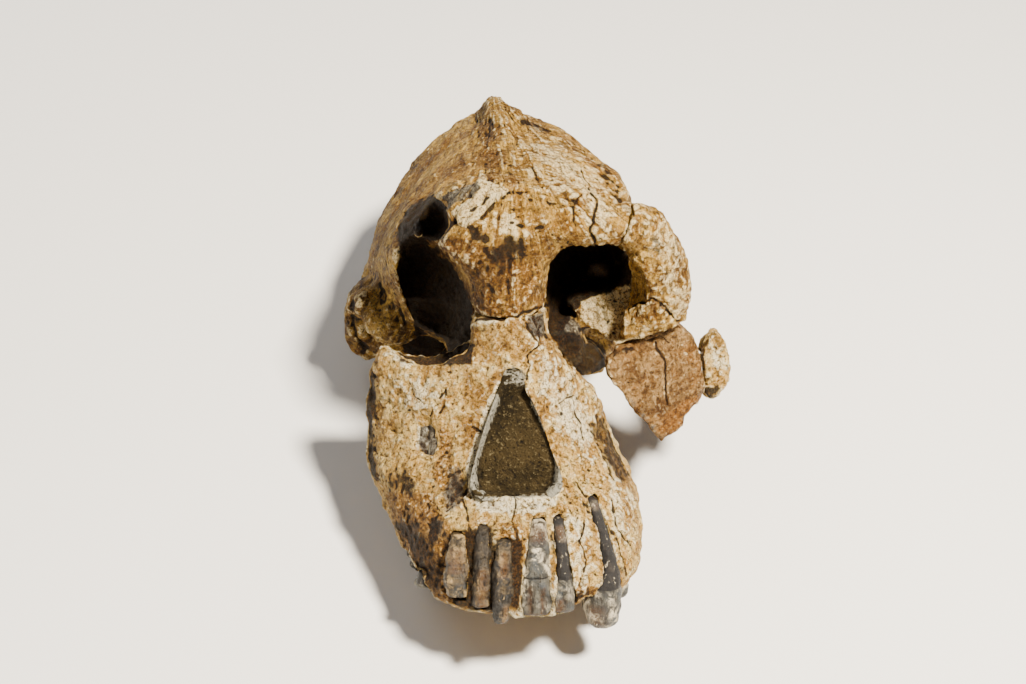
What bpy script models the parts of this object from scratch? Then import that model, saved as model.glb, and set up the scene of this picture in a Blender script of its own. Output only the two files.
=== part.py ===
"""Fossil hominin skull without its lower jaw: a braincase, a face and broken cheek pieces, with teeth.

The forms are laid out in the skull's own frame, in millimetres: +X is the skull's left, +Y its back and
+Z up, with the lower rim of the eye sockets at height 0 and the ear openings near Y = 0. One empty,
skull_at_rest, then tips the whole skull back until it rests on its molars and the back of its base, and
carries every piece.
"""

import math

import bmesh
import bpy
import numpy as np
from mathutils import Euler, Matrix, Vector

MM = 0.001

# How the skull lies: turned about X so that the face looks up, and about Y by the little its breaks leave.
REST_TILT_DEG = -27.01
REST_ROLL_DEG = -0.20

# Gap between pieces that lie against each other.
JOIN_GAP = 0.35

# The crack that parts the face from the braincase: its height at the middle and its rise to the left.
CRACK_HEIGHT = 16.8
CRACK_RISE = 0.07

# Where the left end of the brow broke off: a point on the break and the angle of the arch beyond it.
BROW_BREAK = (34.8, -77.0, 43.5)
BROW_BREAK_DEG = 17.0

# Triangles left in each large piece.
BRAINCASE_TRIANGLES = 3500
FACE_TRIANGLES = 1700
ARCH_TRIANGLES = 460
CHEEK_TRIANGLES = 360
SPLINTER_TRIANGLES = 120

# Braincase sections, brow to back: Y, top, bottom, right and left half width, height of the widest line,
# and how full the right and left shoulders are (1 is a straight gable, 2 an ellipse).
VAULT_SECTIONS = (
    (-84, 45, 40, 4, 4, 42, 2.0, 2.0),
    (-79, 50, 34, 17, 20, 41, 2.0, 2.0),
    (-68, 54, 18, 25, 31, 35, 1.9, 2.1),
    (-52, 57, 2, 31, 38, 28, 1.7, 2.2),
    (-35, 60, -7, 36, 43, 24, 1.5, 2.3),
    (-15, 62, -12, 40, 47.5, 19, 1.4, 2.2),
    (5, 64, -15, 41.8, 49, 15, 1.32, 2.0),
    (22, 64, -16, 42.5, 48.5, 12, 1.4, 1.85),
    (38, 61, -14, 40, 44, 11, 1.6, 1.8),
    (50, 53, -7, 33, 35, 13, 1.8, 1.9),
    (58, 39, 3, 20, 21, 17, 2.0, 2.0),
    (61, 28, 14, 6, 6, 21, 2.0, 2.0),
)

# Brow ridges as bars: X, Y, Z, radius, and the bone between the eyes: Z, right and left half width, front Y.
BROW_MIDDLE = ((-19, -73, 42, 6), (-10, -78.5, 42.5, 6.6), (0, -79.5, 42, 7), (9, -79.5, 42.6, 6.8))
BROW_LEFT = (
    (6, -79.5, 43, 6.8), (15, -79.2, 44.2, 6.6), (25, -77.8, 44.6, 6.8), (34, -75.5, 44, 7),
    (40, -74, 43.2, 6.8),
)
PILLAR_SECTIONS = (
    (47, 20, 16, -76), (40, 20, 15, -84.5), (33, 16, 12.4, -85.5), (26, 12.6, 11.2, -85),
    (19, 11.4, 11, -84.5), (12, 11, 11, -84.5),
)

# Crests over the top and round the back: X, Y, Z, radius.
SAGITTAL_CREST = (
    (1, -36, 59, 1.4), (1.4, -14, 62.4, 3.2), (1.5, 6, 65.0, 4.0), (1, 24, 64.6, 3.8),
    (0, 40, 59.5, 3.0), (0, 50, 52.5, 2.0),
)
NUCHAL_CREST = (
    (-43, 22, 4, 3.5), (-36, 40, 10, 4), (-20, 54, 15, 4), (0, 59.5, 17, 4.4), (20, 54, 15, 4),
    (36, 42, 10, 4), (46, 24, 4, 3.5),
)

# Broken plate at the back of the left eye socket, X and Z as seen from the front.
REAR_PLATE_OUTLINE = (
    (19, 14), (24, 17), (29, 17.2), (35, 18), (37.4, 20.5), (38.6, 27.5), (41.5, 25), (43, 14), (43, 2),
    (37, 0), (34, 1), (29, 3.6), (24, 8),
)

# How much further out the left side of the base lies than the right one.
LEFT_SIDE_WIDER = 2.5

# Face sections, from the crack down: Z, right half width and the Y where it is reached, left half width and
# its Y, front Y, back Y, and how full the right and left front corners and the back are.
FACE_SECTIONS = (
    (19, 10.8, -76, 10.4, -76, -84, -62, 2.6, 2.6, 2.5),
    (11, 11.6, -76, 11.4, -76, -85.5, -61, 2.6, 2.6, 2.5),
    (5, 14, -76, 14.5, -76, -87, -58, 2.0, 2.0, 2.5),
    (1, 38, -63, 19.5, -75, -88, -54, 1.45, 1.5, 2.6),
    (-5, 42.5, -61, 24.3, -73, -90, -53, 1.4, 1.35, 2.6),
    (-14, 43.6, -60, 28.6, -71, -94, -53, 1.35, 1.35, 2.6),
    (-25, 43.6, -60, 32.8, -70, -101, -53, 1.4, 1.5, 2.6),
    (-34, 43.4, -62, 37.4, -70, -109, -53, 1.6, 1.75, 2.8),
    (-42, 40.6, -64, 40, -71, -115, -53, 1.85, 1.95, 3.0),
    (-50, 37.5, -68, 40.6, -74, -119, -53, 2.05, 2.15, 3.0),
    (-57, 34, -76, 40, -78, -121.5, -53, 2.2, 2.3, 3.0),
    (-62.5, 31.5, -78, 37.5, -80, -122, -54, 2.2, 2.3, 3.0),
)

# Middles of the columns that the cheek tooth roots raise: X, Y, Z, radius.
ROOT_COLUMNS = ((31.5, -97, -50, 3.6), (35, -85, -50, 4.0), (-28, -97, -50, 3.6), (-31.5, -84, -50, 4.0))

# The nose opening: its plane runs from the top point to the bottom point, with these half widths along it.
NOSE_TOP = (0.0, -88.0, 2.0)
NOSE_BOTTOM = (0.0, -107.5, -31.0)
NOSE_HALF_WIDTHS = (
    (0.0, 1.6), (0.16, 4.0), (0.38, 7.4), (0.62, 10.6), (0.83, 12.9), (0.93, 12.6), (1.0, 9.5),
)
NOSE_DEPTH = 19.0
NOSE_FILL_DEPTH = 7.0

# Cheek plate and splinter outlines, X and Z as seen from the front.
CHEEK_OUTLINE = (
    (30.4, -1.2), (33.0, 0.4), (33.4, 2.6), (36.0, 2.9), (41.6, 4.8), (45.2, 6.8), (48.8, 8.5), (54.6, 8.0),
    (59.6, 2.4), (62.0, -3.2), (62.6, -9.0), (63.4, -14.6), (61.4, -18.8), (57.0, -22.2), (56.2, -25.6),
    (52.4, -28.0), (49.0, -30.2), (45.6, -25.6), (42.4, -21.4), (38.4, -17.0), (35.4, -12.0), (31.4, -7.0),
)
SPLINTER_OUTLINE = (
    (66.4, 4.2), (69.0, 2.6), (71.6, -3.3), (71.7, -8.3), (70.0, -13.8), (65.2, -17.6), (64.1, -16.0),
    (63.5, -9.2), (62.7, -5.8), (62.2, -0.8), (64.4, 2.0),
)

# The left orbital arch from the brow down: centre X, Y, Z, half width across the arch and half depth.
ARCH_PATH = (
    (31.0, -78.0, 44.0, 6.2, 6.0), (35.5, -77.0, 43.4, 6.6, 6.6), (40.2, -75.0, 41.4, 7.6, 7.4),
    (43.2, -71.5, 36.2, 7.6, 8.0), (45.8, -69.0, 29.0, 8.8, 8.4), (46.9, -67.0, 21.0, 9.9, 8.0),
    (45.8, -65.5, 13.0, 9.9, 6.6), (44.2, -64.5, 5.0, 9.8, 4.6), (43.0, -64.0, -2.0, 9.4, 4.0),
)

# Front teeth by sections from root to biting edge: X, Y, Z, half width, half depth.
FRONT_TEETH = {
    "left_central_incisor": (
        (5.9, -109.4, -37.4, 1.7, 1.8), (5.5, -113.4, -44.0, 2.8, 3.0), (5.0, -116.1, -49.5, 3.2, 3.4),
        (4.6, -118.1, -54.0, 3.9, 3.4), (4.4, -119.7, -59.0, 4.3, 2.9), (4.4, -120.8, -62.8, 3.8, 1.8),
    ),
    "left_lateral_incisor": (
        (11.9, -108.0, -37.4, 1.3, 1.4), (12.3, -112.2, -44.0, 1.6, 2.2), (12.6, -115.2, -50.4, 1.8, 2.6),
        (12.8, -117.0, -55.0, 2.6, 2.8), (12.8, -118.4, -59.5, 3.0, 2.4), (12.8, -119.2, -62.8, 2.8, 1.5),
    ),
    "left_canine": (
        (22.4, -97.4, -34.8, 1.5, 2.2), (24.4, -102.4, -44.0, 1.9, 3.8), (26.2, -106.2, -53.0, 2.6, 4.6),
        (25.6, -108.4, -58.5, 4.3, 5.2), (24.9, -109.8, -64.5, 5.1, 5.0), (25.3, -110.8, -69.2, 4.2, 3.2),
        (25.5, -111.2, -71.4, 2.2, 1.6),
    ),
    "right_central_incisor": (
        (-4.2, -112.4, -42.0, 1.4, 1.8), (-4.8, -116.8, -50.0, 2.0, 2.4), (-5.4, -119.6, -58.0, 1.9, 2.2),
        (-5.7, -121.0, -65.0, 1.3, 1.4),
    ),
    "right_lateral_incisor": (
        (-10.2, -109.0, -39.0, 1.2, 1.6), (-10.8, -114.4, -48.0, 1.7, 2.4), (-11.3, -118.2, -60.8, 1.8, 2.2),
    ),
    "right_canine": (
        (-17.0, -106.8, -42.0, 1.6, 2.2), (-17.4, -110.6, -50.0, 2.6, 3.4), (-17.6, -113.4, -59.0, 2.4, 3.0),
    ),
}

# How far each front socket is drawn out forwards, where the bone over the root has broken away.
SLOT_REACH = 4.0

# Height of the bone edge that the left teeth stand in.
ALVEOLAR_EDGE = -60.5

# Cheek teeth: name, X and Y of the middle, length along the row, width across it, height of the left crown,
# then height of the right crown and of the neck it stands on: the front of the right row is broken off.
CHEEK_TEETH = (
    ("third_premolar", 28.6, -99.6, 8.6, 11.6, 5.6, 1.0, -60.0),
    ("fourth_premolar", 29.6, -90.4, 8.6, 12.0, 5.0, 1.0, -57.6),
    ("first_molar", 30.0, -79.8, 11.0, 12.4, 4.4, 1.4, -57.8),
    ("second_molar", 29.4, -67.8, 11.6, 12.8, 3.8, 3.0, -60.5),
    ("third_molar", 28.2, -56.6, 9.4, 12.0, 3.2, 3.0, -60.5),
)
CHEEK_ROOT_LENGTH = 3.4
RIGHT_ROW_INSET = 3.8

MATERIALS = {
    "aged_bone": ((0.60, 0.43, 0.25, 1.0), 0.72),
    "pale_bone": ((0.74, 0.60, 0.40, 1.0), 0.72),
    "brown_bone": ((0.50, 0.33, 0.18, 1.0), 0.75),
    "tooth_enamel": ((0.52, 0.52, 0.48, 1.0), 0.40),
    "tooth_root": ((0.09, 0.09, 0.10, 1.0), 0.60),
    "stone_matrix": ((0.22, 0.19, 0.14, 1.0), 0.90),
}


def clear_scene():
    for old in list(bpy.data.objects):
        bpy.data.objects.remove(old, do_unlink=True)


def make_collection(name):
    made = bpy.data.collections.new(name)
    bpy.context.scene.collection.children.link(made)
    return made


def make_material(name):
    colour, roughness = MATERIALS[name]
    made = bpy.data.materials.new(name)
    made.use_nodes = True
    shader = made.node_tree.nodes["Principled BSDF"]
    shader.inputs["Base Color"].default_value = colour
    shader.inputs["Roughness"].default_value = roughness
    shader.inputs["Metallic"].default_value = 0.0
    made.diffuse_color = colour
    return made


def object_from(name, points_mm, faces):
    mesh = bpy.data.meshes.new(name)
    mesh.from_pydata((np.asarray(points_mm, float) * MM).tolist(), [], faces)
    mesh.update()
    made = bpy.data.objects.new(name, mesh)
    bpy.context.scene.collection.objects.link(made)
    return made


def point_outwards(obj):
    work = bmesh.new()
    work.from_mesh(obj.data)
    bmesh.ops.recalc_face_normals(work, faces=work.faces)
    work.to_mesh(obj.data)
    work.free()
    return obj


def settle(obj):
    """Replaces the object's mesh by its evaluated one, and drops its modifiers."""
    graph = bpy.context.evaluated_depsgraph_get()
    mesh = bpy.data.meshes.new_from_object(obj.evaluated_get(graph))
    obj.modifiers.clear()
    obj.data = mesh
    return obj


def smooth_rows(rows, count):
    """More rows between those given, on a Catmull-Rom curve through each column."""
    rows = np.array(rows, float)
    padded = np.vstack([2 * rows[0] - rows[1], rows, 2 * rows[-1] - rows[-2]])
    at = np.linspace(0, len(rows) - 1, count)
    start = np.minimum(at.astype(int), len(rows) - 2)
    t = (at - start)[:, None]
    a, b, c, d = (padded[start + k] for k in range(4))
    return 0.5 * (2 * b + (c - a) * t + (2 * a - 5 * b + 4 * c - d) * t**2 + (3 * b - a - 3 * c + d) * t**3)


def loft(name, rings):
    """A closed skin over rings of points, each ring of the same length, with a fan at each end."""
    rings = np.asarray(rings, float)
    count, around = rings.shape[:2]
    points = np.vstack([rings.reshape(-1, 3), rings[0].mean(0), rings[-1].mean(0)])
    first, last = count * around, count * around + 1
    faces = []
    for row in range(count - 1):
        for k in range(around):
            after = (k + 1) % around
            low, high = row * around, (row + 1) * around
            faces.append((low + k, low + after, high + after, high + k))
    for k in range(around):
        after = (k + 1) % around
        faces.append((first, after, k))
        faces.append((last, (count - 1) * around + k, (count - 1) * around + after))
    return point_outwards(object_from(name, points, faces))


def ellipsoid(name, centre, radii, turn=(0.0, 0.0, 0.0), squareness=2.0):
    """A primitive sphere squared off (2 leaves it round), stretched to three radii, turned in degrees."""
    mesh = bpy.data.meshes.new(name)
    work = bmesh.new()
    bmesh.ops.create_uvsphere(work, u_segments=36, v_segments=24, radius=1.0)
    for vert in work.verts:
        size = sum(abs(c) ** squareness for c in vert.co) ** (1 / squareness)
        vert.co = Vector(c / size * r for c, r in zip(vert.co, radii))
    turned = Euler([math.radians(a) for a in turn]).to_matrix().to_4x4()
    bmesh.ops.transform(work, matrix=Matrix.Translation(Vector(centre)) @ turned, verts=work.verts)
    bmesh.ops.scale(work, vec=(MM, MM, MM), verts=work.verts)
    work.to_mesh(mesh)
    work.free()
    made = bpy.data.objects.new(name, mesh)
    bpy.context.scene.collection.objects.link(made)
    return made


def block(name, low, high, place=Matrix()):
    """A primitive box between two corners, in millimetres, then placed by a matrix in millimetres."""
    low, high = Vector(low), Vector(high)
    mesh = bpy.data.meshes.new(name)
    work = bmesh.new()
    box = Matrix.Translation((low + high) / 2) @ Matrix.Diagonal((*(high - low), 1.0))
    bmesh.ops.create_cube(work, size=1.0, matrix=Matrix.Diagonal((MM, MM, MM, 1.0)) @ place @ box)
    work.to_mesh(mesh)
    work.free()
    made = bpy.data.objects.new(name, mesh)
    bpy.context.scene.collection.objects.link(made)
    return made


def flat_tube(name, path, squareness=2.2):
    """A flattened tube along a path seen from the front: X, Y, Z, half width across it, half depth in Y."""
    rows = smooth_rows(path, 4 * len(path))
    heading = np.gradient(rows[:, [0, 2]], axis=0)
    heading /= np.linalg.norm(heading, axis=1)[:, None]
    angle = np.linspace(0, 2 * math.pi, 24, endpoint=False)
    wide = np.sign(np.cos(angle)) * np.abs(np.cos(angle)) ** (2 / squareness)
    deep = np.sign(np.sin(angle)) * np.abs(np.sin(angle)) ** (2 / squareness)
    rings = []
    for (x, y, z, half_width, half_depth), (along_x, along_z) in zip(rows, heading):
        ring_x = x - along_z * half_width * wide
        ring_z = z + along_x * half_width * wide
        rings.append(np.column_stack([ring_x, y + half_depth * deep, ring_z]))
    return loft(name, rings)


def bar(name, path):
    """A round bar along a curve through points (X, Y, Z, radius), made a mesh with its caps welded."""
    curve = bpy.data.curves.new(name, "CURVE")
    curve.dimensions = "3D"
    curve.bevel_depth = MM
    curve.bevel_resolution = 4
    curve.use_fill_caps = True
    spline = curve.splines.new("POLY")
    rows = smooth_rows(path, 5 * len(path))
    spline.points.add(len(rows) - 1)
    for point, row in zip(spline.points, rows):
        point.co = (*(row[:3] * MM), 1.0)
        point.radius = row[3]
    holder = bpy.data.objects.new(name, curve)
    bpy.context.scene.collection.objects.link(holder)
    graph = bpy.context.evaluated_depsgraph_get()
    mesh = bpy.data.meshes.new_from_object(holder.evaluated_get(graph))
    bpy.data.objects.remove(holder)
    work = bmesh.new()
    work.from_mesh(mesh)
    bmesh.ops.remove_doubles(work, verts=work.verts, dist=0.01 * MM)
    bmesh.ops.recalc_face_normals(work, faces=work.faces)
    work.to_mesh(mesh)
    work.free()
    made = bpy.data.objects.new(name, mesh)
    bpy.context.scene.collection.objects.link(made)
    return made


def slab(name, outline, depth):
    """A flat outline in X and Z given a thickness along Y, centred on Y = 0."""
    curve = bpy.data.curves.new(name, "CURVE")
    curve.dimensions = "2D"
    curve.fill_mode = "BOTH"
    curve.extrude = depth / 2 * MM
    spline = curve.splines.new("POLY")
    spline.points.add(len(outline) - 1)
    for point, (across, up) in zip(spline.points, outline):
        point.co = (across * MM, up * MM, 0.0, 1.0)
    spline.use_cyclic_u = True
    holder = bpy.data.objects.new(name, curve)
    holder.rotation_euler = (math.radians(90), 0, 0)
    bpy.context.scene.collection.objects.link(holder)
    bpy.context.view_layer.update()
    graph = bpy.context.evaluated_depsgraph_get()
    mesh = bpy.data.meshes.new_from_object(holder.evaluated_get(graph))
    mesh.transform(holder.matrix_world)
    bpy.data.objects.remove(holder)
    work = bmesh.new()
    work.from_mesh(mesh)
    bmesh.ops.remove_doubles(work, verts=work.verts, dist=0.01 * MM)
    bmesh.ops.recalc_face_normals(work, faces=work.faces)
    work.to_mesh(mesh)
    work.free()
    made = bpy.data.objects.new(name, mesh)
    bpy.context.scene.collection.objects.link(made)
    return made


def fuse(name, forms, voxel_mm, smoothing):
    """Joins overlapping forms in one skin by voxel remeshing, and softens the seams."""
    work = bmesh.new()
    for form in forms:
        work.from_mesh(form.data)
        bpy.data.objects.remove(form)
    mesh = bpy.data.meshes.new(name)
    work.to_mesh(mesh)
    work.free()
    made = bpy.data.objects.new(name, mesh)
    bpy.context.scene.collection.objects.link(made)
    return reskin(made, voxel_mm, smoothing)


def cut(obj, cutters):
    """Takes each cutter out of the object with a Boolean, and removes the cutter."""
    for cutter in cutters:
        boolean = obj.modifiers.new("Cut", "BOOLEAN")
        boolean.operation = "DIFFERENCE"
        boolean.object = cutter
        boolean.solver = "EXACT"
        settle(obj)
        bpy.data.objects.remove(cutter)
    return obj


def reskin(obj, voxel_mm, smoothing):
    """One closed skin on a grid of voxels, smoothed: it joins what overlaps and rounds the rims of cuts."""
    remesh = obj.modifiers.new("Fuse", "REMESH")
    remesh.mode = "VOXEL"
    remesh.voxel_size = voxel_mm * MM
    smooth = obj.modifiers.new("Soften", "SMOOTH")
    smooth.factor = 0.5
    smooth.iterations = smoothing
    return settle(obj)


def thin_to(obj, triangles):
    """Collapses edges until about this many triangles are left."""
    obj.data.calc_loop_triangles()
    ratio = triangles / max(1, len(obj.data.loop_triangles))
    if ratio < 1:
        decimate = obj.modifiers.new("Thin", "DECIMATE")
        decimate.ratio = ratio
        decimate.use_collapse_triangulate = True
        settle(obj)
    return obj


def grab(obj, pulls):
    """Moves the surface as a hand pulls clay: a pull is centre, reach and shift, and fades with distance."""
    mesh = obj.data
    points = np.empty(len(mesh.vertices) * 3)
    mesh.vertices.foreach_get("co", points)
    points = points.reshape(-1, 3) / MM
    for centre, reach, shift in pulls:
        away = ((points - np.array(centre)) / np.array(reach)) ** 2
        points += np.exp(-away.sum(1))[:, None] * np.array(shift)
    mesh.vertices.foreach_set("co", (points * MM).ravel())
    mesh.update()
    return obj


def largest_body(obj):
    """Drops crumbs that a cut left loose."""
    work = bmesh.new()
    work.from_mesh(obj.data)
    left, bodies = set(work.verts), []
    while left:
        stack, body = [left.pop()], set()
        while stack:
            vert = stack.pop()
            body.add(vert)
            for edge in vert.link_edges:
                other = edge.other_vert(vert)
                if other in left:
                    left.remove(other)
                    stack.append(other)
        bodies.append(body)
    keep = max(bodies, key=len)
    bmesh.ops.delete(work, geom=[v for v in work.verts if v not in keep], context="VERTS")
    work.to_mesh(obj.data)
    work.free()
    return obj


def vault_form():
    rings = []
    angle = np.linspace(0, 2 * math.pi, 48, endpoint=False)
    across, up = np.cos(angle), np.sin(angle)
    for y, top, bottom, right, left, middle, full_right, full_left in smooth_rows(VAULT_SECTIONS, 45):
        half = np.where(across < 0, right, left)
        full = np.where(across < 0, full_right, full_left)
        power = np.where(up > 0, 2 / full, 1.0)
        x = half * np.sign(across) * np.abs(across) ** power
        height = np.where(up > 0, top - middle, middle - bottom)
        z = middle + height * np.sign(up) * np.abs(up) ** power
        rings.append(np.column_stack([x, np.full_like(x, y), z]))
    return loft("vault", rings)


def brow_forms():
    """The brow over the nose and the left eye, and the wide bone between the eyes that the crack ends."""
    forms = [
        bar("brow_middle", BROW_MIDDLE),
        bar("brow_left", BROW_LEFT),
        ellipsoid("brow_rise", (12, -69, 47), (25, 14, 8.5), (-24, 0, 0)),
        ellipsoid("brow_slope", (-4, -66, 48), (20, 16, 9), (-22, 0, 0)),
        ellipsoid("glabella", (-3, -78, 38), (16, 8.5, 9)),
    ]
    angle = np.linspace(0, 2 * math.pi, 28, endpoint=False)
    across = np.sign(np.cos(angle)) * np.abs(np.cos(angle)) ** 0.75
    ahead = np.sign(np.sin(angle)) * np.abs(np.sin(angle)) ** 0.75
    rings = []
    for z, right, left, front in PILLAR_SECTIONS:
        x = np.where(across < 0, right, left) * across
        y = (front - 44) / 2 + (front + 44) / 2 * ahead
        rings.append(np.column_stack([x, y, np.full_like(x, z)]))
    return [*forms, loft("pillar", rings)]


def base_forms():
    forms = [
        ellipsoid("sphenoid", (0, -36, -4), (18, 22, 15)),
        ellipsoid("basilar_part", (0, -8, -13), (12, 20, 8)),
        ellipsoid("nuchal_plane", (0, 30, -8), (34, 20, 12), (24, 0, 0)),
        bar("sagittal_crest", SAGITTAL_CREST),
        ellipsoid("crest_knob", (6.5, 2, 64.2), (4, 6, 3.4)),
        bar("nuchal_crest", NUCHAL_CREST),
    ]
    for side, wide in ((-1, 0.0), (1, LEFT_SIDE_WIDER)):
        forms += [
            ellipsoid("mastoid", (side * (43 + wide), 14, -8), (8.5, 12, 15), (16, 0, 0)),
            ellipsoid("condyle", (side * 12, 11, -18.5), (6.5, 10, 6.5), (0, 0, side * 24)),
            ellipsoid("tympanic_ridge", (side * 29, 1, -12), (15, 6, 8), (0, side * 10, side * 12)),
            ellipsoid("joint_eminence", (side * (34 + wide), -14, -1.5), (10.5, 10, 7.5)),
            ellipsoid("arch_root", (side * (43 + wide), -5, 4), (8, 14, 4.2), (-8, side * 30, side * 10)),
            ellipsoid("ear_shelf", (side * (47 + wide), 2, -4), (4.6, 6, 9.5)),
            ellipsoid("pterygoid_plate", (side * 13, -48.5, -25), (4.2, 8, 19), (-8, side * 6, side * 14)),
        ]
    return forms


def socket_forms():
    """Bone that stands in the left eye socket: a rough plate at its back and remains of its floor."""
    plate = slab("rear_plate", REAR_PLATE_OUTLINE, 13.0)
    plate.data.transform(Matrix.Translation(Vector((0, -48.5, 0)) * MM))
    return [plate, ellipsoid("floor_remains", (17, -50, 0), (9, 14, 9)),
            ellipsoid("lower_remains", (24.5, -50, -4.5), (8, 9, 5), (0, 30, 0))]


def build_braincase():
    braincase = fuse("braincase", [vault_form(), *brow_forms(), *base_forms()], 1.5, 4)
    carves = [
        ellipsoid("left_socket", (24.6, -70, 19.5), (14.2, 30, 18.8), (0, 0, -6), 2.7),
        ellipsoid("right_socket", (-22.6, -68, 18), (11.6, 34, 19.5), (0, -13, 6), 2.3),
        ellipsoid("right_socket_side", (-46, -76, 12), (18, 26, 26), (0, 0, 16)),
        ellipsoid("right_socket_low", (-25, -58, 5.5), (11.5, 27, 8), (0, 0, 0), 2.6),
        ellipsoid("sinus", (-22.4, -64, 43), (4.9, 20, 6.9), (-12, 0, 0), 2.4),
        ellipsoid("left_temple", (51, -64, 12), (15, 22, 26), (0, 0, -14)),
        ellipsoid("left_temple_below", (36, -56, -14), (20, 24, 14)),
        ellipsoid("right_temple_below", (-34, -54, -14), (20, 24, 16)),
        ellipsoid("great_foramen", (0, 22, -20), (11, 14, 9), (12, 0, 0)),
    ]
    cut(braincase, carves)
    braincase = fuse("braincase", [braincase, *socket_forms()], 1.25, 2)
    grab(braincase, [
        ((-30, -62, 50), (9, 12, 8), (2.0, 3.0, -2.0)),
        ((39, -27, 49), (8, 22, 9), (2.2, 0, 2.0)),
        ((-38, -35, 40), (8, 20, 10), (-0.8, 0, 0.8)),
        ((24, -66, 52), (10, 9, 6), (0, 1.5, -1.5)),
    ])
    thin_to(braincase, BRAINCASE_TRIANGLES)
    face_room = face_form("face_room", 16, 24, JOIN_GAP, CRACK_HEIGHT - 2)
    below_crack = block("below_crack", (-24, -30, -60), (24, 26, 0), crack_place(JOIN_GAP / 2, -86))
    beyond_brow = block("beyond_brow", (0, -15, -16), (16, 13, 16), brow_end_place(-JOIN_GAP / 2))
    return largest_body(cut(braincase, [face_room, below_crack, beyond_brow]))


def crack_place(offset, y):
    """The sloping plane on which the nasal bridge broke, moved up or down by an offset."""
    sloped = Matrix.Rotation(-math.atan(CRACK_RISE), 4, "Y")
    return Matrix.Translation((0, y, CRACK_HEIGHT + offset)) @ sloped


def brow_end_place(offset):
    """The plane on which the left end of the brow broke: its X axis points along the arch."""
    turned = Matrix.Rotation(math.radians(BROW_BREAK_DEG), 4, "Y")
    return Matrix.Translation(BROW_BREAK) @ turned @ Matrix.Translation((offset, 0, 0))


def face_form(name="face_block", count=40, around=44, grow=0.0, top=math.inf):
    """The whole face before anything is carved from it, or the same grown a little, to cut its neighbour."""
    rings = []
    angle = np.linspace(0, 2 * math.pi, around, endpoint=False)
    across, ahead = np.cos(angle), -np.sin(angle)
    for row in smooth_rows(FACE_SECTIONS, count):
        z, right, y_right, left, y_left, front, back, full_right, full_left, full_back = row
        if z > top:
            continue
        half = np.where(across < 0, right, left) + grow
        widest = np.where(across < 0, y_right, y_left)
        full = np.where(ahead < 0, np.where(across < 0, full_right, full_left), full_back)
        x = half * np.sign(across) * np.abs(across) ** (2 / full)
        reach = np.where(ahead < 0, front - grow - widest, back + grow - widest)
        y = widest + reach * np.abs(ahead) ** (2 / full)
        rings.append(np.column_stack([x, y, np.full_like(x, z)]))
    return loft(name, rings)


def root_bulges():
    """The rounded columns that the tooth roots raise on the outer wall."""
    bulges = []
    for x, y, z, size in ROOT_COLUMNS:
        path = [(x, y, z - 9, size), (x * 0.99, y + 2, z, size), (x * 0.95, y + 6, z + 11, size * 0.6)]
        bulges.append(bar("bulge", path))
    return bulges


def nose_frame():
    """The nose opening's plane: its top point, its length, and the frame X, outwards, downwards along it."""
    top, bottom = Vector(NOSE_TOP), Vector(NOSE_BOTTOM)
    down = (bottom - top).normalized()
    across = Vector((1, 0, 0))
    return top, (bottom - top).length, across, down.cross(across).normalized(), down


def nose_solid(name, inset, front, back, steps=5):
    """The pear shape of the nose opening between two depths along its plane's normal."""
    top, length, across, outwards, down = nose_frame()
    rows = smooth_rows(NOSE_HALF_WIDTHS, steps * 3)
    sides = [(-w + inset, t) for t, w in rows] + [(w - inset, t) for t, w in rows[::-1]]
    rings = []
    for depth in (front, back):
        ring = []
        for x, t in sides:
            along = inset + t * (length - 2 * inset)
            ring.append(top + across * x + down * along - outwards * depth)
        rings.append([tuple(p) for p in ring])
    return loft(name, rings)


def build_face(tooth_sockets):
    face = fuse("face", [face_form(), *root_bulges()], 1.4, 3)
    carves = [
        ellipsoid("palate", (0.5, -78, -66), (21.5, 31, 15)),
        ellipsoid("rear_passage", (0, -50, -24), (11, 15, 15)),
        ellipsoid("right_socket_floor", (-24, -62, 8), (15, 20, 11), (0, 0, 10)),
        ellipsoid("right_behind_cheek", (-40, -46, -24), (13, 13, 24), (0, 0, -14)),
        ellipsoid("left_behind", (34, -50, -18), (16, 18, 24)),
        ellipsoid("left_socket_floor", (30, -62, 6), (16, 22, 15), (0, 0, -14)),
    ]
    cut(face, carves)
    reskin(face, 1.2, 2)
    grab(face, [
        ((-39, -62, 2), (3.4, 6, 3.4), (-0.6, 0, 3.6)),
        ((-26, -79, -21), (4, 5, 6), (0, 2.6, 0)),
        ((0, -112, -34), (12, 8, 4), (0, 1.2, 0)),
        ((-14, -112, -62), (7, 9, 7), (0, 0, -1.6)),
        ((6, -120, -62), (10, 8, 5), (0, 0, -1.7)),
        ((-31, -88, -62), (10, 12, 8), (1.6, 0, 4.0)),
        ((20, -114, -61), (3.5, 8, 4), (0, 0, 2.6)),
        ((-41, -62, -36), (5, 8, 5), (-1.2, 0, 0)),
    ])
    thin_to(face, FACE_TRIANGLES)
    above_crack = block("above_crack", (-40, -60, 0), (40, 60, 40), crack_place(-JOIN_GAP / 2, -80))
    cutters = [above_crack, nose_solid("nose_opening", 0.0, -12.0, NOSE_DEPTH)]
    return largest_body(cut(face, cutters + tooth_sockets))


def build_nasal_fill():
    return nose_solid("nasal_matrix", JOIN_GAP, NOSE_FILL_DEPTH, NOSE_DEPTH - JOIN_GAP)


def build_orbital_arch():
    arch = fuse("left_orbital_arch", [flat_tube("rim", ARCH_PATH)], 1.2, 2)
    cutters = [
        ellipsoid("socket_side", (24, -86, 20.5), (19.5, 34, 18.5)),
        block("below_arch", (-30, -30, -20), (30, 30, 0),
              Matrix.Translation((44, -64, 7.4)) @ Matrix.Rotation(math.radians(-18), 4, "Y")),
        block("brow_side", (-16, -20, -16), (JOIN_GAP / 2, 20, 16), brow_end_place(0)),
    ]
    thin_to(arch, ARCH_TRIANGLES)
    return largest_body(cut(arch, cutters))


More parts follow.
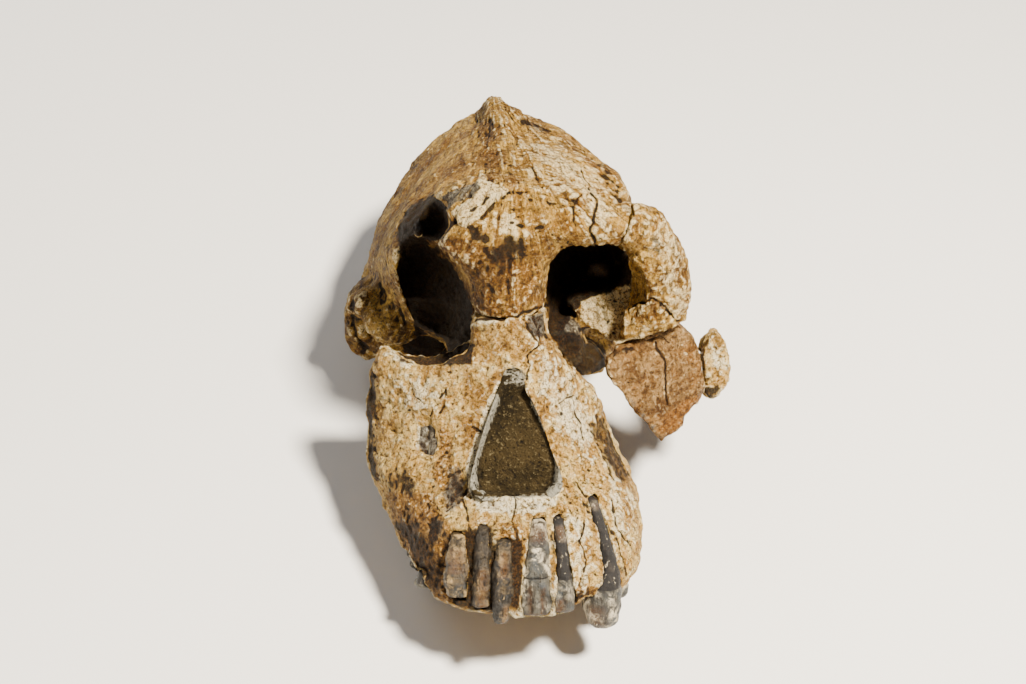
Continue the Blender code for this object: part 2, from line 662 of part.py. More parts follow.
def build_cheek():
    cheek = fuse("left_cheekbone", [slab("plate", CHEEK_OUTLINE, 6.0)], 1.0, 1)
    lean_back(cheek)
    return thin_to(cheek, CHEEK_TRIANGLES)


def lean_back(obj):
    """Turns a front-on plate into its place on the side of the face: its outer edge lies further back."""
    points = np.empty(len(obj.data.vertices) * 3)
    obj.data.vertices.foreach_get("co", points)
    points = points.reshape(-1, 3) / MM
    x, z = points[:, 0], points[:, 2]
    points[:, 1] += -68 + 0.36 * (x - 30) + 0.006 * (x - 47) ** 2 + 0.004 * (z + 8) ** 2
    obj.data.vertices.foreach_set("co", (points * MM).ravel())
    obj.data.update()


def build_splinter():
    splinter = fuse("cheek_splinter", [slab("chip", SPLINTER_OUTLINE, 11)], 1.0, 1)
    splinter.data.transform(Matrix.Translation(Vector((0, -51, 0)) * MM))
    return thin_to(splinter, SPLINTER_TRIANGLES)


def tooth(name, sections, turn=0.0, around=10):
    """A tooth as a stack of rounded sections from root to biting edge."""
    return loft(name, tooth_rings(sections, turn, around, 0.85))


def tooth_rings(sections, turn, around, corner):
    angle = np.linspace(0, 2 * math.pi, around, endpoint=False)
    across = np.sign(np.cos(angle)) * np.abs(np.cos(angle)) ** corner
    ahead = np.sign(np.sin(angle)) * np.abs(np.sin(angle)) ** corner
    swing = math.radians(turn)
    rings = []
    for x, y, z, half_width, half_depth in sections:
        wide, deep = half_width * across, half_depth * ahead
        ring_x = x + wide * math.cos(swing) - deep * math.sin(swing)
        ring_y = y + wide * math.sin(swing) + deep * math.cos(swing)
        rings.append(np.column_stack([ring_x, ring_y, np.full_like(ring_x, z)]))
    return rings


def socket(sections, turn, around, reach):
    """The room for a tooth: its sections with a gap all round, drawn out forwards by the reach."""
    swing = math.radians(turn)
    grown = []
    for index, (x, y, z, half_width, half_depth) in enumerate(sections):
        end = JOIN_GAP if index == 0 else -JOIN_GAP if index == len(sections) - 1 else 0.0
        x, y = x + reach * math.sin(swing), y - reach * math.cos(swing)
        grown.append((x, y, z + end, half_width + JOIN_GAP, half_depth + reach + JOIN_GAP))
    return loft("socket", tooth_rings(grown, turn, around, 0.4 if reach else 0.85))


def tooth_plan():
    """Name, sections, turn and material of every tooth, the cheek teeth of both sides included."""
    turns = {"left_canine": 24.0, "right_canine": -22.0, "left_lateral_incisor": 8.0}
    plan = []
    for name, sections in FRONT_TEETH.items():
        whole = name.startswith("left")
        plan.append((name, sections, turns.get(name, 0.0), "tooth_enamel" if whole else "tooth_root"))
    for side, word in ((1, "left"), (-1, "right")):
        for kind, x, y, along, across, left_crown, right_crown, right_neck in CHEEK_TEETH:
            x = x if side > 0 else RIGHT_ROW_INSET - x
            neck, crown = (ALVEOLAR_EDGE, left_crown) if side > 0 else (right_neck, right_crown)
            sections = (
                (x, y, neck + CHEEK_ROOT_LENGTH, across * 0.36, along * 0.36),
                (x, y, neck, across * 0.44, along * 0.44),
                (x, y, neck - 0.4 * crown, across * 0.5, along * 0.48),
                (x, y, neck - crown, across * 0.36, along * 0.38),
            )
            plan.append((f"{word}_{kind}", sections, side * 4.0, "tooth_enamel"))
    return plan


def rest_empty(pieces):
    """The empty that tips the skull back: its lowest point at height 0, the middle of its box over 0."""
    turned = Euler((math.radians(REST_TILT_DEG), math.radians(REST_ROLL_DEG), 0)).to_matrix()
    points = np.vstack([[turned @ vert.co for vert in made.data.vertices] for made in pieces])
    low, high = points.min(0), points.max(0)
    empty = bpy.data.objects.new("skull_at_rest", None)
    bpy.context.scene.collection.objects.link(empty)
    empty.rotation_euler = (math.radians(REST_TILT_DEG), math.radians(REST_ROLL_DEG), 0)
    empty.location = (-(low[0] + high[0]) / 2, -(low[1] + high[1]) / 2, -low[2])
    return empty


def main():
    clear_scene()
    collection = make_collection("fossil_skull")
    materials = {name: make_material(name) for name in MATERIALS}
    pieces = []
    sockets = []
    for name, sections, turn, material in tooth_plan():
        around = 12 if name in FRONT_TEETH and material == "tooth_enamel" else 8
        reach = SLOT_REACH if name in FRONT_TEETH else 0.0
        pieces.append((tooth(name, sections, turn, around), material))
        sockets.append(socket(sections, turn, around, reach))
    pieces += [
        (build_braincase(), "aged_bone"),
        (build_face(sockets), "pale_bone"),
        (build_nasal_fill(), "stone_matrix"),
        (build_orbital_arch(), "aged_bone"),
        (build_cheek(), "brown_bone"),
        (build_splinter(), "pale_bone"),
    ]
    empty = rest_empty([made for made, material in pieces])
    for made, material in pieces:
        made.data.materials.clear()
        made.data.materials.append(materials[material])
        made.data.shade_smooth()
        for holder in list(made.users_collection):
            holder.objects.unlink(made)
        collection.objects.link(made)
        made.parent = empty


main()
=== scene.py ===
import math

import bmesh
import bpy
import numpy as np
from mathutils import Matrix, Vector


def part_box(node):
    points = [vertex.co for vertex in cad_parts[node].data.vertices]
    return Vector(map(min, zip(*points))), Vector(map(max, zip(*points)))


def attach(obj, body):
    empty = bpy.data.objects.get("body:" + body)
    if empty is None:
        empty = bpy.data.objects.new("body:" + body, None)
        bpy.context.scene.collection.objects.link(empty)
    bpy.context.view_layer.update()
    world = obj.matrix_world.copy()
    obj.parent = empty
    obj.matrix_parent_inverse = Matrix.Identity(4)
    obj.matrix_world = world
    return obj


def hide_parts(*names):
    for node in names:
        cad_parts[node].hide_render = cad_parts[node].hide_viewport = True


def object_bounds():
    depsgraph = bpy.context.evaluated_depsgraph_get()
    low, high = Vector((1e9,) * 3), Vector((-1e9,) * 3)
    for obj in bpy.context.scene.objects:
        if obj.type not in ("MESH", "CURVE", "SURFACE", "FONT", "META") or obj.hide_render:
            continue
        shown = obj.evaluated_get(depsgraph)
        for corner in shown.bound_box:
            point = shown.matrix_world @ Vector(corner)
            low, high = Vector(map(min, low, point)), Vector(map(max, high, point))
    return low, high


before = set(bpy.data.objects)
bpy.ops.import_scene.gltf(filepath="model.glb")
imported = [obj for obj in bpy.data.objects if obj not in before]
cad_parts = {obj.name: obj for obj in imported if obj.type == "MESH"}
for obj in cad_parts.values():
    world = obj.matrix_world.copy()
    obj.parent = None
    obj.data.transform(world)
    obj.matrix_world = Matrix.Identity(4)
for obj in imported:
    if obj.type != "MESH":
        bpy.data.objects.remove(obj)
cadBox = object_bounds()
print("solids loaded")

mm = 0.001

# How the skull lies and where it is looked at from. The forms below are laid out in the skull's own
# millimetres: X to its left, Y to its back, Z up, before it is tipped back on its molars.
lie = {
    "tiltDeg": -27.01,
    "rollDeg": -0.20,
    "eyeTarget": (0.5, -82.0, 9.0),
    "eyeRiseDeg": 15.0,
    "eyeTurnDeg": -4.0,
    "eyeDistance": 600.0,
    "lens": 70.18,
}

# Front teeth from root to biting edge, as the solids have them: X, Y, Z, half width, half depth.
frontTeeth = {
    "left_central_incisor": [
        (5.9, -109.4, -37.4, 1.7, 1.8), (5.5, -113.4, -44.0, 2.8, 3.0), (5.0, -116.1, -49.5, 3.2, 3.4),
        (4.6, -118.1, -54.0, 3.9, 3.4), (4.4, -119.7, -59.0, 4.3, 2.9), (4.4, -120.8, -62.8, 3.8, 1.8),
    ],
    "left_lateral_incisor": [
        (11.9, -108.0, -37.4, 1.3, 1.4), (12.3, -112.2, -44.0, 1.6, 2.2), (12.6, -115.2, -50.4, 1.8, 2.6),
        (12.8, -117.0, -55.0, 2.6, 2.8), (12.8, -118.4, -59.5, 3.0, 2.4), (12.8, -119.2, -62.8, 2.8, 1.5),
    ],
    "left_canine": [
        (22.4, -97.4, -34.8, 1.5, 2.2), (24.4, -102.4, -44.0, 1.9, 3.8), (26.2, -106.2, -53.0, 2.6, 4.6),
        (25.6, -108.4, -58.5, 4.3, 5.2), (24.9, -109.8, -64.5, 5.1, 5.0), (25.3, -110.8, -69.2, 4.2, 3.2),
        (25.5, -111.2, -71.4, 2.2, 1.6),
    ],
    "right_central_incisor": [
        (-4.2, -112.4, -42.0, 1.4, 1.8), (-4.8, -116.8, -50.0, 2.0, 2.4), (-5.4, -119.6, -58.0, 1.9, 2.2),
        (-5.7, -121.0, -65.0, 1.3, 1.4),
    ],
    "right_lateral_incisor": [
        (-10.2, -109.0, -39.0, 1.2, 1.6), (-10.8, -114.4, -48.0, 1.7, 2.4), (-11.3, -118.2, -60.8, 1.8, 2.2),
    ],
    "right_canine": [
        (-17.0, -106.8, -42.0, 1.6, 2.2), (-17.4, -110.6, -50.0, 2.6, 3.4), (-17.6, -113.4, -59.0, 2.4, 3.0),
    ],
}
frontTurns = {"left_canine": 24.0, "right_canine": -22.0, "left_lateral_incisor": 8.0}

tilt, roll = math.radians(lie["tiltDeg"]), math.radians(lie["rollDeg"])
turned = np.array(Matrix.Rotation(roll, 3, "Y") @ Matrix.Rotation(tilt, 3, "X"))


def ringAngles(sides):
    return np.linspace(0, 2 * math.pi, sides, endpoint=False)[None, :]


def roundedSquare(angle, corner):
    # how far across and ahead of the middle a ring lies: a circle of radius 1 at corner 1, squarer below it
    return [np.sign(part) * np.abs(part) ** corner for part in (np.cos(angle), np.sin(angle))]


def swung(x, y, across, ahead, degrees):
    # X and Y of points that lie so far across and ahead of a middle, turned about it by so many degrees
    swing = math.radians(degrees)
    turnedX = x + across * math.cos(swing) - ahead * math.sin(swing)
    return turnedX, y + across * math.sin(swing) + ahead * math.cos(swing)


def restShift():
    # the middle of the canine's box in the solids, less that of its own rings once they are turned
    sides, corner = 12, 0.85
    x, y, z, wide, deep = np.array(frontTeeth["left_canine"]).T[..., None]
    across, ahead = roundedSquare(ringAngles(sides), corner)
    ringX, ringY = swung(x, y, wide * across, deep * ahead, frontTurns["left_canine"])
    rings = np.stack([ringX, ringY, np.repeat(z, sides, axis=1)], axis=-1).reshape(-1, 3) @ turned.T
    low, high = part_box("left_canine")
    return (np.array(low) + np.array(high)) / 2 / mm - (rings.min(0) + rings.max(0)) / 2


shift = restShift()
print("skull to rest shift in mm", shift.round(2).tolist())

rise, side = math.radians(lie["eyeRiseDeg"]), math.radians(lie["eyeTurnDeg"])
eyeBack = np.array([math.sin(side) * math.cos(rise), -math.cos(side) * math.cos(rise), math.sin(rise)])
eyeRight = np.array([math.cos(side), math.sin(side), 0.0])
eyeUp = np.cross(eyeBack, eyeRight)
eyeSpot = np.array(lie["eyeTarget"]) + eyeBack * lie["eyeDistance"]
viewAxes = np.column_stack([turned @ eyeRight, turned @ eyeUp, turned @ eyeBack])


def toRest(points):
    return (points @ turned.T + shift) * mm


def toSkull(points):
    return (points / mm - shift) @ turned


def sighted(points):
    # where each point is seen from the front: millimetres right and up on the plane through the target
    away = points - eyeSpot
    depth = -(away @ eyeBack)
    return np.column_stack([away @ eyeRight, away @ eyeUp]) * (lie["eyeDistance"] / depth)[:, None]


# Fields: each takes points in millimetres and gives one number for every point.


def ease(value, low, high):
    t = np.clip((value - low) / (high - low), 0.0, 1.0)
    return t * t * (3 - 2 * t)


def scatter(cell, seed):
    # a repeatable number in 0..1 for each whole-number cell, from its three indices and the seed
    mixed = cell[:, 0] * 73856093 ^ cell[:, 1] * 19349663 ^ cell[:, 2] * 83492791 ^ seed * 40503
    mixed = (mixed ^ (mixed >> 13)) * 1274126177 & 0x7FFFFFFF
    mixed = (mixed ^ (mixed >> 16)) * 668265263 & 0x7FFFFFFF
    return ((mixed >> 8) & 0xFFFF) / 65535.0


def lumps(points, size, seed):
    # smooth noise in -1..1: values scattered on a lattice of this size, blended by a fifth-power ease
    spot = points / size
    base = np.floor(spot).astype(np.int64)
    t = spot - base
    t = t * t * t * (t * (t * 6 - 15) + 10)
    total = np.zeros(len(points))
    for corner in range(8):
        step = np.array([corner & 1, corner >> 1 & 1, corner >> 2 & 1])
        weight = np.prod(np.where(step, t, 1 - t), axis=1)
        total += weight * (scatter(base + step, seed) * 2 - 1)
    return total


def layered(points, size, layers, seed, keep=0.5):
    # lumps on lumps: each layer is half the size of the one before and keeps this share of its height
    total, height = np.zeros(len(points)), 1.0
    for layer in range(layers):
        total += height * lumps(points + 17.3 * layer, size / 2**layer, seed + layer)
        height *= keep
    return total


def grains(points, size, seed):
    # distances, in cell sizes, to the nearest and the second nearest of points scattered one to a cell
    spot = points / size
    base = np.floor(spot).astype(np.int64)
    near = np.full(len(points), 9.0)
    second = np.full(len(points), 9.0)
    for k in range(27):
        cell = base + np.array([k % 3 - 1, k // 3 % 3 - 1, k // 9 - 1])
        centre = cell + np.column_stack([scatter(cell, seed + j) for j in (1, 2, 3)])
        gap = np.sqrt(((spot - centre) ** 2).sum(1))
        second = np.minimum(second, np.maximum(gap, near))
        near = np.minimum(near, gap)
    return near, second


def pits(points, size, seed, share):
    # ragged hollows, 0..1: one in some of the cells, as deep as the nearest scattered point is near, with a
    # reach that changes from place to place
    bend = np.column_stack([lumps(points, size * 0.6, seed + j) for j in (30, 31, 32)])
    near = grains(points + 0.30 * size * bend, size, seed)[0]
    reach = 0.27 + 0.24 * lumps(points, size * 1.4, seed + 12)
    present = ease(lumps(points, size * 3.5, seed + 9), 1 - 2 * share, 1.4 - 2 * share)
    return ease(reach - near, 0.0, 0.30) * present


def fissures(points, size, seed, width):
    # thin lines, 0..1, where two scattered points are equally far: width is in millimetres
    bend = np.column_stack([lumps(points, size / 3, seed + j) for j in (20, 21, 22)])
    near, second = grains(points + 0.09 * size * bend, size, seed)
    return np.exp(-(((second - near) * size / width) ** 2))


def alongLine(spots, line):
    # distance from each spot to the nearest point of an open line
    line = np.array(line, float)
    best = np.full(len(spots), 1e9)
    for start, end in zip(line[:-1], line[1:]):
        step = end - start
        t = np.clip((spots - start) @ step / (step @ step), 0, 1)
        best = np.minimum(best, np.linalg.norm(spots - start - t[:, None] * step, axis=1))
    return best


def withinOutline(spots, outline, soft):
    # 1 inside the closed outline and 0 outside, eased over the soft distance: the distance to the nearest
    # edge, made positive inside by counting the edges that a line to the right crosses
    closed = np.array([*outline, outline[0]], float)
    gap = alongLine(spots, closed)
    inside = np.zeros(len(spots), bool)
    for (ax, ay), (bx, by) in zip(closed[:-1], closed[1:]):
        if ay == by:
            continue
        crosses = (spots[:, 1] > ay) != (spots[:, 1] > by)
        inside ^= crosses & (spots[:, 0] < (bx - ax) * (spots[:, 1] - ay) / (by - ay) + ax)
    return ease(np.where(inside, gap, -gap), -soft, soft)


# Skins: the numpy side of every bone piece.


def linked(mesh, name):
    piece = bpy.data.objects.new(name, mesh)
    bpy.context.scene.collection.objects.link(piece)
    return piece


def readArray(items, key, width, kind=np.float64):
    data = np.empty(len(items) * width, kind)
    items.foreach_get(key, data)
    return data.reshape(-1, width)


def writePoints(mesh, points):
    mesh.vertices.foreach_set("co", points.astype(np.float32).ravel())
    mesh.update()


def neighbourMeans(edges, size):
    # gives a function that moves each point to the mean of the points joined to it
    ends, others = edges.ravel(), edges[:, ::-1].ravel()
    degree = np.bincount(ends, minlength=size)[:, None]
    return lambda at: np.column_stack([np.bincount(ends, at[others, k], size) for k in range(3)]) / degree


def relaxed(points, edges, count, strength):
    # each point moves to the mean of its neighbours and partly back again, which smooths without shrinking
    pull, back = 0.5, -0.52
    meansOf = neighbourMeans(edges, len(points))
    for turn in range(count):
        for share in (pull, back):
            points = points + share * strength[:, None] * (meansOf(points) - points)
    return points


def shapeNow(piece):
    # the piece's mesh as its modifier leaves it, in place of the mesh that it had
    graph = bpy.context.evaluated_depsgraph_get()
    mesh = bpy.data.meshes.new_from_object(piece.evaluated_get(graph))
    piece.modifiers.clear()
    piece.data = mesh


def skinOf(node, name, voxel):
    # the solid's surface as one even grid of small quads
    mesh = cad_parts[node].data.copy()
    work = bmesh.new()
    work.from_mesh(mesh)
    bmesh.ops.remove_doubles(work, verts=work.verts, dist=0.001 * mm)
    work.to_mesh(mesh)
    work.free()
    piece = linked(mesh, name)
    remesh = piece.modifiers.new("even", "REMESH")
    remesh.mode = "VOXEL"
    remesh.voxel_size = voxel * mm
    shapeNow(piece)
    return piece


def skinArrays(piece):
    mesh = piece.data
    points = toSkull(readArray(mesh.vertices, "co", 3))
    edges = readArray(mesh.edges, "vertices", 2, np.int32).astype(np.int64)
    return points, edges


def outwardOf(piece, points):
    # unit normals of the points, in skull directions
    writePoints(piece.data, toRest(points))
    return readArray(piece.data.vertex_normals, "vector", 3) @ turned


def kept(points):
    # the same points held a hair inside the solids' own box, so that nothing sinks below what the skull
    # rests on
    hair = 0.05 * mm
    return np.clip(points, np.array(cadBox[0]) + hair, np.array(cadBox[1]) - hair)


def hollowness(points, edges, normals, rounds):
    # how far each point lies under the mean of the points around it, in millimetres
    meansOf = neighbourMeans(edges, len(points))
    smooth = points
    for turn in range(rounds):
        smooth = meansOf(smooth)
    return ((smooth - points) * normals).sum(1)


marksOrder = {"dark": 0, "pale": 1, "grey": 2, "rustAndShade": 3}


def paintPatches(patches, spots, marks, depth, shows):
    # each patch: its kind, outline on the sight plane, softness, strength and height above the rest
    for kind, outline, soft, strength, height in patches:
        mask = withinOutline(spots, outline, soft) * shows
        if kind:
            column = marks[:, marksOrder[kind]]
            np.maximum(column, mask * strength, out=column)
        depth += height * mask


def cutCracks(cracks, spots, marks, depth, shows):
    # each crack: its line on the sight plane, half width, depth and darkness; its sides fall as a bell curve
    for line, width, deep, darkness in cracks:
        groove = np.exp(-((alongLine(spots, line) / width) ** 2)) * shows
        depth -= deep * groove
        marks[:, 0] = np.maximum(marks[:, 0], darkness * groove)


def storeMarks(piece, marks, grain):
    # two attributes for the finishes: the four marks as a colour, and the grain as a stretched place
    painted = piece.data.attributes.new("marks", "FLOAT_COLOR", "POINT")
    painted.data.foreach_set("color", np.clip(marks, 0, 1).astype(np.float32).ravel())
    lines = piece.data.attributes.new("grain", "FLOAT_VECTOR", "POINT")
    lines.data.foreach_set("vector", (grain * mm).astype(np.float32).ravel())


def settleIn(piece, node, material):
    piece.data.materials.clear()
    piece.data.materials.append(material)
    piece.data.polygons.foreach_set("use_smooth", np.ones(len(piece.data.polygons), bool))
    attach(piece, "root")
    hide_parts(node)
    print("made", piece.name, len(piece.data.vertices), "points")


# Finishes: every bone colour is built the same way, from a list of its own tones.


def node(tree, kind, **values):
    made = tree.nodes.new(kind)
    for key, value in values.items():
        if key in made.inputs:
            made.inputs[key].default_value = value
        else:
            setattr(made, key, value)
    return made


def noiseOn(tree, where, size, detail, roughness, distortion=0.0):
    # noise whose lumps are about this many millimetres across
    made = node(tree, "ShaderNodeTexNoise", Scale=1 / (size * mm), Detail=detail, Roughness=roughness)
    made.inputs["Distortion"].default_value = distortion
    tree.links.new(where, made.inputs["Vector"])
    return made.outputs["Fac"]


def rampOn(tree, value, low, high):
    # 0 below the low value, 1 above the high one
    made = node(tree, "ShaderNodeMapRange", clamp=True)
    made.interpolation_type = "SMOOTHSTEP"
    made.inputs["From Min"].default_value = low
    made.inputs["From Max"].default_value = high
    tree.links.new(value, made.inputs["Value"])
    return made.outputs["Result"]


def mathOn(tree, operation, first, second):
    made = node(tree, "ShaderNodeMath", operation=operation)
    for slotIndex, value in enumerate((first, second)):
        if isinstance(value, (int, float)):
            made.inputs[slotIndex].default_value = value
        else:
            tree.links.new(value, made.inputs[slotIndex])
    return made.outputs["Value"]


def blendOn(tree, share, under, over):
    # the second colour over the first one by a share
    made = node(tree, "ShaderNodeMix", data_type="RGBA", clamp_factor=True)
    for value, index in ((share, 0), (under, 6), (over, 7)):
        if isinstance(value, tuple):
            made.inputs[index].default_value = (*value, 1.0)
        elif isinstance(value, (int, float)):
            made.inputs[index].default_value = value
        else:
            tree.links.new(value, made.inputs[index])
    return made.outputs[2]


def bumpOn(tree, height, distance, strength, under=None):
    made = node(tree, "ShaderNodeBump", Distance=distance * mm, Strength=strength)
    tree.links.new(height, made.inputs["Height"])
    if under is not None:
        tree.links.new(under, made.inputs["Normal"])
    return made.outputs["Normal"]


def speckled(tree, share, noise, spread):
    # a painted mark broken up by noise: full where the mark is 1, and scattered specks where it is less
    swing = mathOn(tree, "MULTIPLY", mathOn(tree, "SUBTRACT", noise, 0.5), spread)
    return rampOn(tree, mathOn(tree, "ADD", share, swing), 0.38, 0.64)


def overlaid(tree, colour, mask, strength, tone):
    # a tone over the colour where the mask is, at this strength
    return blendOn(tree, mathOn(tree, "MULTIPLY", mask, strength), colour, tone)


def toned(tree, noise, low, high, first, second):
    # the first tone where the noise is low, and the second where it is high
    return blendOn(tree, rampOn(tree, noise, low, high), first, second)


def layeredTones(tree, colour, tones, layers):
    # tones laid over the colour one by one: each comes in as its noise goes from one value to the other
    for noise, start, full, strength, tone in layers:
        colour = overlaid(tree, colour, rampOn(tree, noise, start, full), strength, tones[tone])
    return colour


def newFinish(name):
    # an empty finish and what it reads: its place, its grain and the four painted marks
    made = bpy.data.materials.new(name)
    made.use_nodes = True
    tree = made.node_tree
    marks = node(tree, "ShaderNodeAttribute", attribute_name="marks")
    split = node(tree, "ShaderNodeSeparateColor")
    tree.links.new(marks.outputs["Color"], split.inputs["Color"])
    reads = {mark: split.outputs[index] for mark, index in marksOrder.items() if mark != "rustAndShade"}
    reads["rustAndShade"] = marks.outputs["Alpha"]
    reads["where"] = node(tree, "ShaderNodeTexCoord").outputs["Object"]
    reads["along"] = node(tree, "ShaderNodeAttribute", attribute_name="grain").outputs["Vector"]
    return made, tree, reads


def finishedWith(made, colour, relief, roughness, sheen):
    tree = made.node_tree
    shader = tree.nodes["Principled BSDF"]
    for key, value in (("Base Color", colour), ("Normal", relief), ("Roughness", roughness)):
        if isinstance(value, float):
            shader.inputs[key].default_value = value
        else:
            tree.links.new(value, shader.inputs[key])
    shader.inputs["Specular IOR Level"].default_value = sheen
    return made


# The bone's patterns: which way each runs, how many millimetres wide it is, its layers, how much the finer
# layers count, and how far it is bent.
patterns = {
    "broad": ("where", 30, 6, 0.62, 0.5),
    "ochre": ("where", 15, 6, 0.68, 1.0),
    "flakes": ("where", 5.2, 7, 0.69, 0.9),
    "drawn": ("along", 3.6, 6, 0.72, 0.5),
    "grit": ("where", 1.3, 5, 0.80, 0.4),
    "lines": ("along", 1.0, 5, 0.74, 0.0),
    "dust": ("where", 0.50, 3, 0.75, 0.0),
}


def boneFinish(name, tones):
    # broad patches, mottling, grit and grain lines in the bone's own tones, then the painted marks
    made, tree, reads = newFinish(name)
    noise = {key: noiseOn(tree, reads[way], *rest) for key, (way, *rest) in patterns.items()}
    flakes, grit, lines, dust = (noise[key] for key in ("flakes", "grit", "lines", "dust"))
    mottle = mathOn(tree, "ADD", mathOn(tree, "MULTIPLY", flakes, 1 - tones["drawn"]),
                    mathOn(tree, "MULTIPLY", noise["drawn"], tones["drawn"]))
    speck = mathOn(tree, "ADD", mathOn(tree, "MULTIPLY", flakes, 0.5), mathOn(tree, "MULTIPLY", grit, 0.5))

    colour = toned(tree, noise["broad"], 0.38, 0.60, tones["base"], tones["light"])
    colour = layeredTones(tree, colour, tones, [
        (noise["ochre"], 0.48, 0.66, 0.7, "ochre"),
        (mottle, 0.44, 0.61, tones["creamShare"], "cream"),
        (mottle, 0.47, 0.34, tones["deepShare"], "deep"),
    ])
    rustyAndShaded = toned(tree, grit, 0.42, 0.60, tones["rustAndShade"], tones["ochre"])
    whitish = toned(tree, grit, 0.36, 0.58, tones["cream"], tones["bright"])
    greyish = toned(tree, grit, 0.40, 0.62, tones["grey"], tuple(2.6 * part for part in tones["grey"]))
    # the marks laid over the colour: the rust mark holds brown stains and painted shade, the pale mark pale
    # bone and painted highlight
    for mark, pattern, spread, strength, tone in (
        ("rustAndShade", mottle, 1.3, 0.85, rustyAndShaded),
        ("pale", flakes, 1.5, 0.9, whitish),
        ("grey", flakes, 1.5, 0.9, greyish),
    ):
        colour = overlaid(tree, colour, speckled(tree, reads[mark], pattern, spread), strength, tone)
    colour = layeredTones(tree, colour, tones, [
        (lines, 0.49, 0.36, tones["streaks"], "line"),
        (lines, 0.54, 0.68, tones["streaks"] * 0.7, "cream"),
        (grit, 0.50, 0.39, tones["gritShare"], "line"),
        (grit, 0.54, 0.64, tones["gritShare"] * 0.55, "bright"),
        (dust, 0.45, 0.34, 0.9, "line"),
    ])
    blackish = toned(tree, dust, 0.48, 0.66, tones["dark"], tones["deep"])
    # the dark mark holds pits, cracks and dark stains, and painted shade in the eye sockets, the brow's hole
    # and the hollows
    colour = overlaid(tree, colour, speckled(tree, reads["dark"], speck, 1.9), 0.96, blackish)

    relief = bumpOn(tree, grit, 2.0, tones["rough"])
    relief = bumpOn(tree, dust, 0.8, tones["rough"] * 0.9, relief)
    relief = bumpOn(tree, flakes, 3.6, tones["rough"] * 0.6, relief)
    relief = bumpOn(tree, lines, 1.2, tones["streaks"] * 0.8, relief)

    roughness = node(tree, "ShaderNodeMapRange", clamp=True)
    tree.links.new(grit, roughness.inputs["Value"])
    ends = {"From Min": 0.35, "From Max": 0.65, "To Min": tones["shine"], "To Max": tones["shine"] + 0.28}
    for key, value in ends.items():
        roughness.inputs[key].default_value = value
    return finishedWith(made, colour, relief, roughness.outputs["Result"], 0.14)


agedTones = {
    "base": (0.150, 0.062, 0.007),
    "light": (0.310, 0.148, 0.019),
    "cream": (0.730, 0.445, 0.095),
    "creamShare": 0.95,
    "deep": (0.044, 0.016, 0.003),
    "deepShare": 0.84,
    "ochre": (0.250, 0.095, 0.007),
    "rustAndShade": (0.060, 0.021, 0.002),
    "bright": (0.950, 0.780, 0.450),
    "grey": (0.050, 0.051, 0.046),
    "line": (0.018, 0.007, 0.002),
    "dark": (0.005, 0.004, 0.003),
    "streaks": 0.70,
    "drawn": 0.60,
    "gritShare": 0.80,
    "rough": 1.0,
    "shine": 0.44,
}
paleTones = {
    "base": (0.350, 0.174, 0.030),
    "light": (0.600, 0.345, 0.076),
    "cream": (0.880, 0.630, 0.225),
    "creamShare": 0.95,
    "deep": (0.090, 0.036, 0.007),
    "deepShare": 0.72,
    "ochre": (0.420, 0.190, 0.024),
    "rustAndShade": (0.120, 0.045, 0.006),
    "bright": (0.960, 0.860, 0.620),
    "grey": (0.065, 0.067, 0.064),
    "line": (0.022, 0.009, 0.003),
    "dark": (0.006, 0.005, 0.004),
    "streaks": 0.34,
    "drawn": 0.25,
    "gritShare": 0.88,
    "rough": 1.0,
    "shine": 0.42,
}
brownTones = {
    "base": (0.132, 0.058, 0.013),
    "light": (0.230, 0.113, 0.031),
    "cream": (0.460, 0.275, 0.100),
    "creamShare": 0.70,
    "deep": (0.075, 0.030, 0.007),
    "deepShare": 0.88,
    "ochre": (0.290, 0.120, 0.020),
    "rustAndShade": (0.220, 0.078, 0.009),
    "bright": (0.800, 0.610, 0.330),
    "grey": (0.052, 0.050, 0.046),
    "line": (0.024, 0.011, 0.004),
    "dark": (0.007, 0.005, 0.004),
    "streaks": 0.24,
    "drawn": 0.15,
    "gritShare": 0.80,
    "rough": 0.95,
    "shine": 0.42,
}


def stoneFinish(name, tones):
    # sandy stone: two browns mottled together, dark grains and a few pale ones, and a grey rim
    made, tree, reads = newFinish(name)
    broad = noiseOn(tree, reads["where"], 9, 4, 0.6, 0.5)
    fine = noiseOn(tree, reads["where"], 1.2, 4, 0.7)
    dust = noiseOn(tree, reads["where"], 0.6, 2, 0.6)
    colour = toned(tree, broad, 0.35, 0.65, tones["base"], tones["light"])
    rim = toned(tree, fine, 0.40, 0.62, tones["rim"], tuple(1.7 * part for part in tones["rim"]))
    colour = overlaid(tree, colour, speckled(tree, reads["pale"], fine, 1.4), 0.9, rim)
    colour = layeredTones(tree, colour, tones, [
        (fine, 0.56, 0.70, 1.0, "pale"),
        (fine, 0.46, 0.34, 1.0, "grain"),
        (dust, 0.60, 0.75, 0.5, "pale"),
    ])
    colour = blendOn(tree, reads["dark"], colour, tones["grain"])
    relief = bumpOn(tree, mathOn(tree, "ADD", fine, dust), 1.0, 0.9)
    return finishedWith(made, colour, relief, 0.82, 0.10)


stoneTones = {
    "base": (0.012, 0.008, 0.0025),
    "light": (0.033, 0.022, 0.008),
    "pale": (0.100, 0.077, 0.038),
    "grain": (0.004, 0.003, 0.002),
    "rim": (0.180, 0.168, 0.132),
}


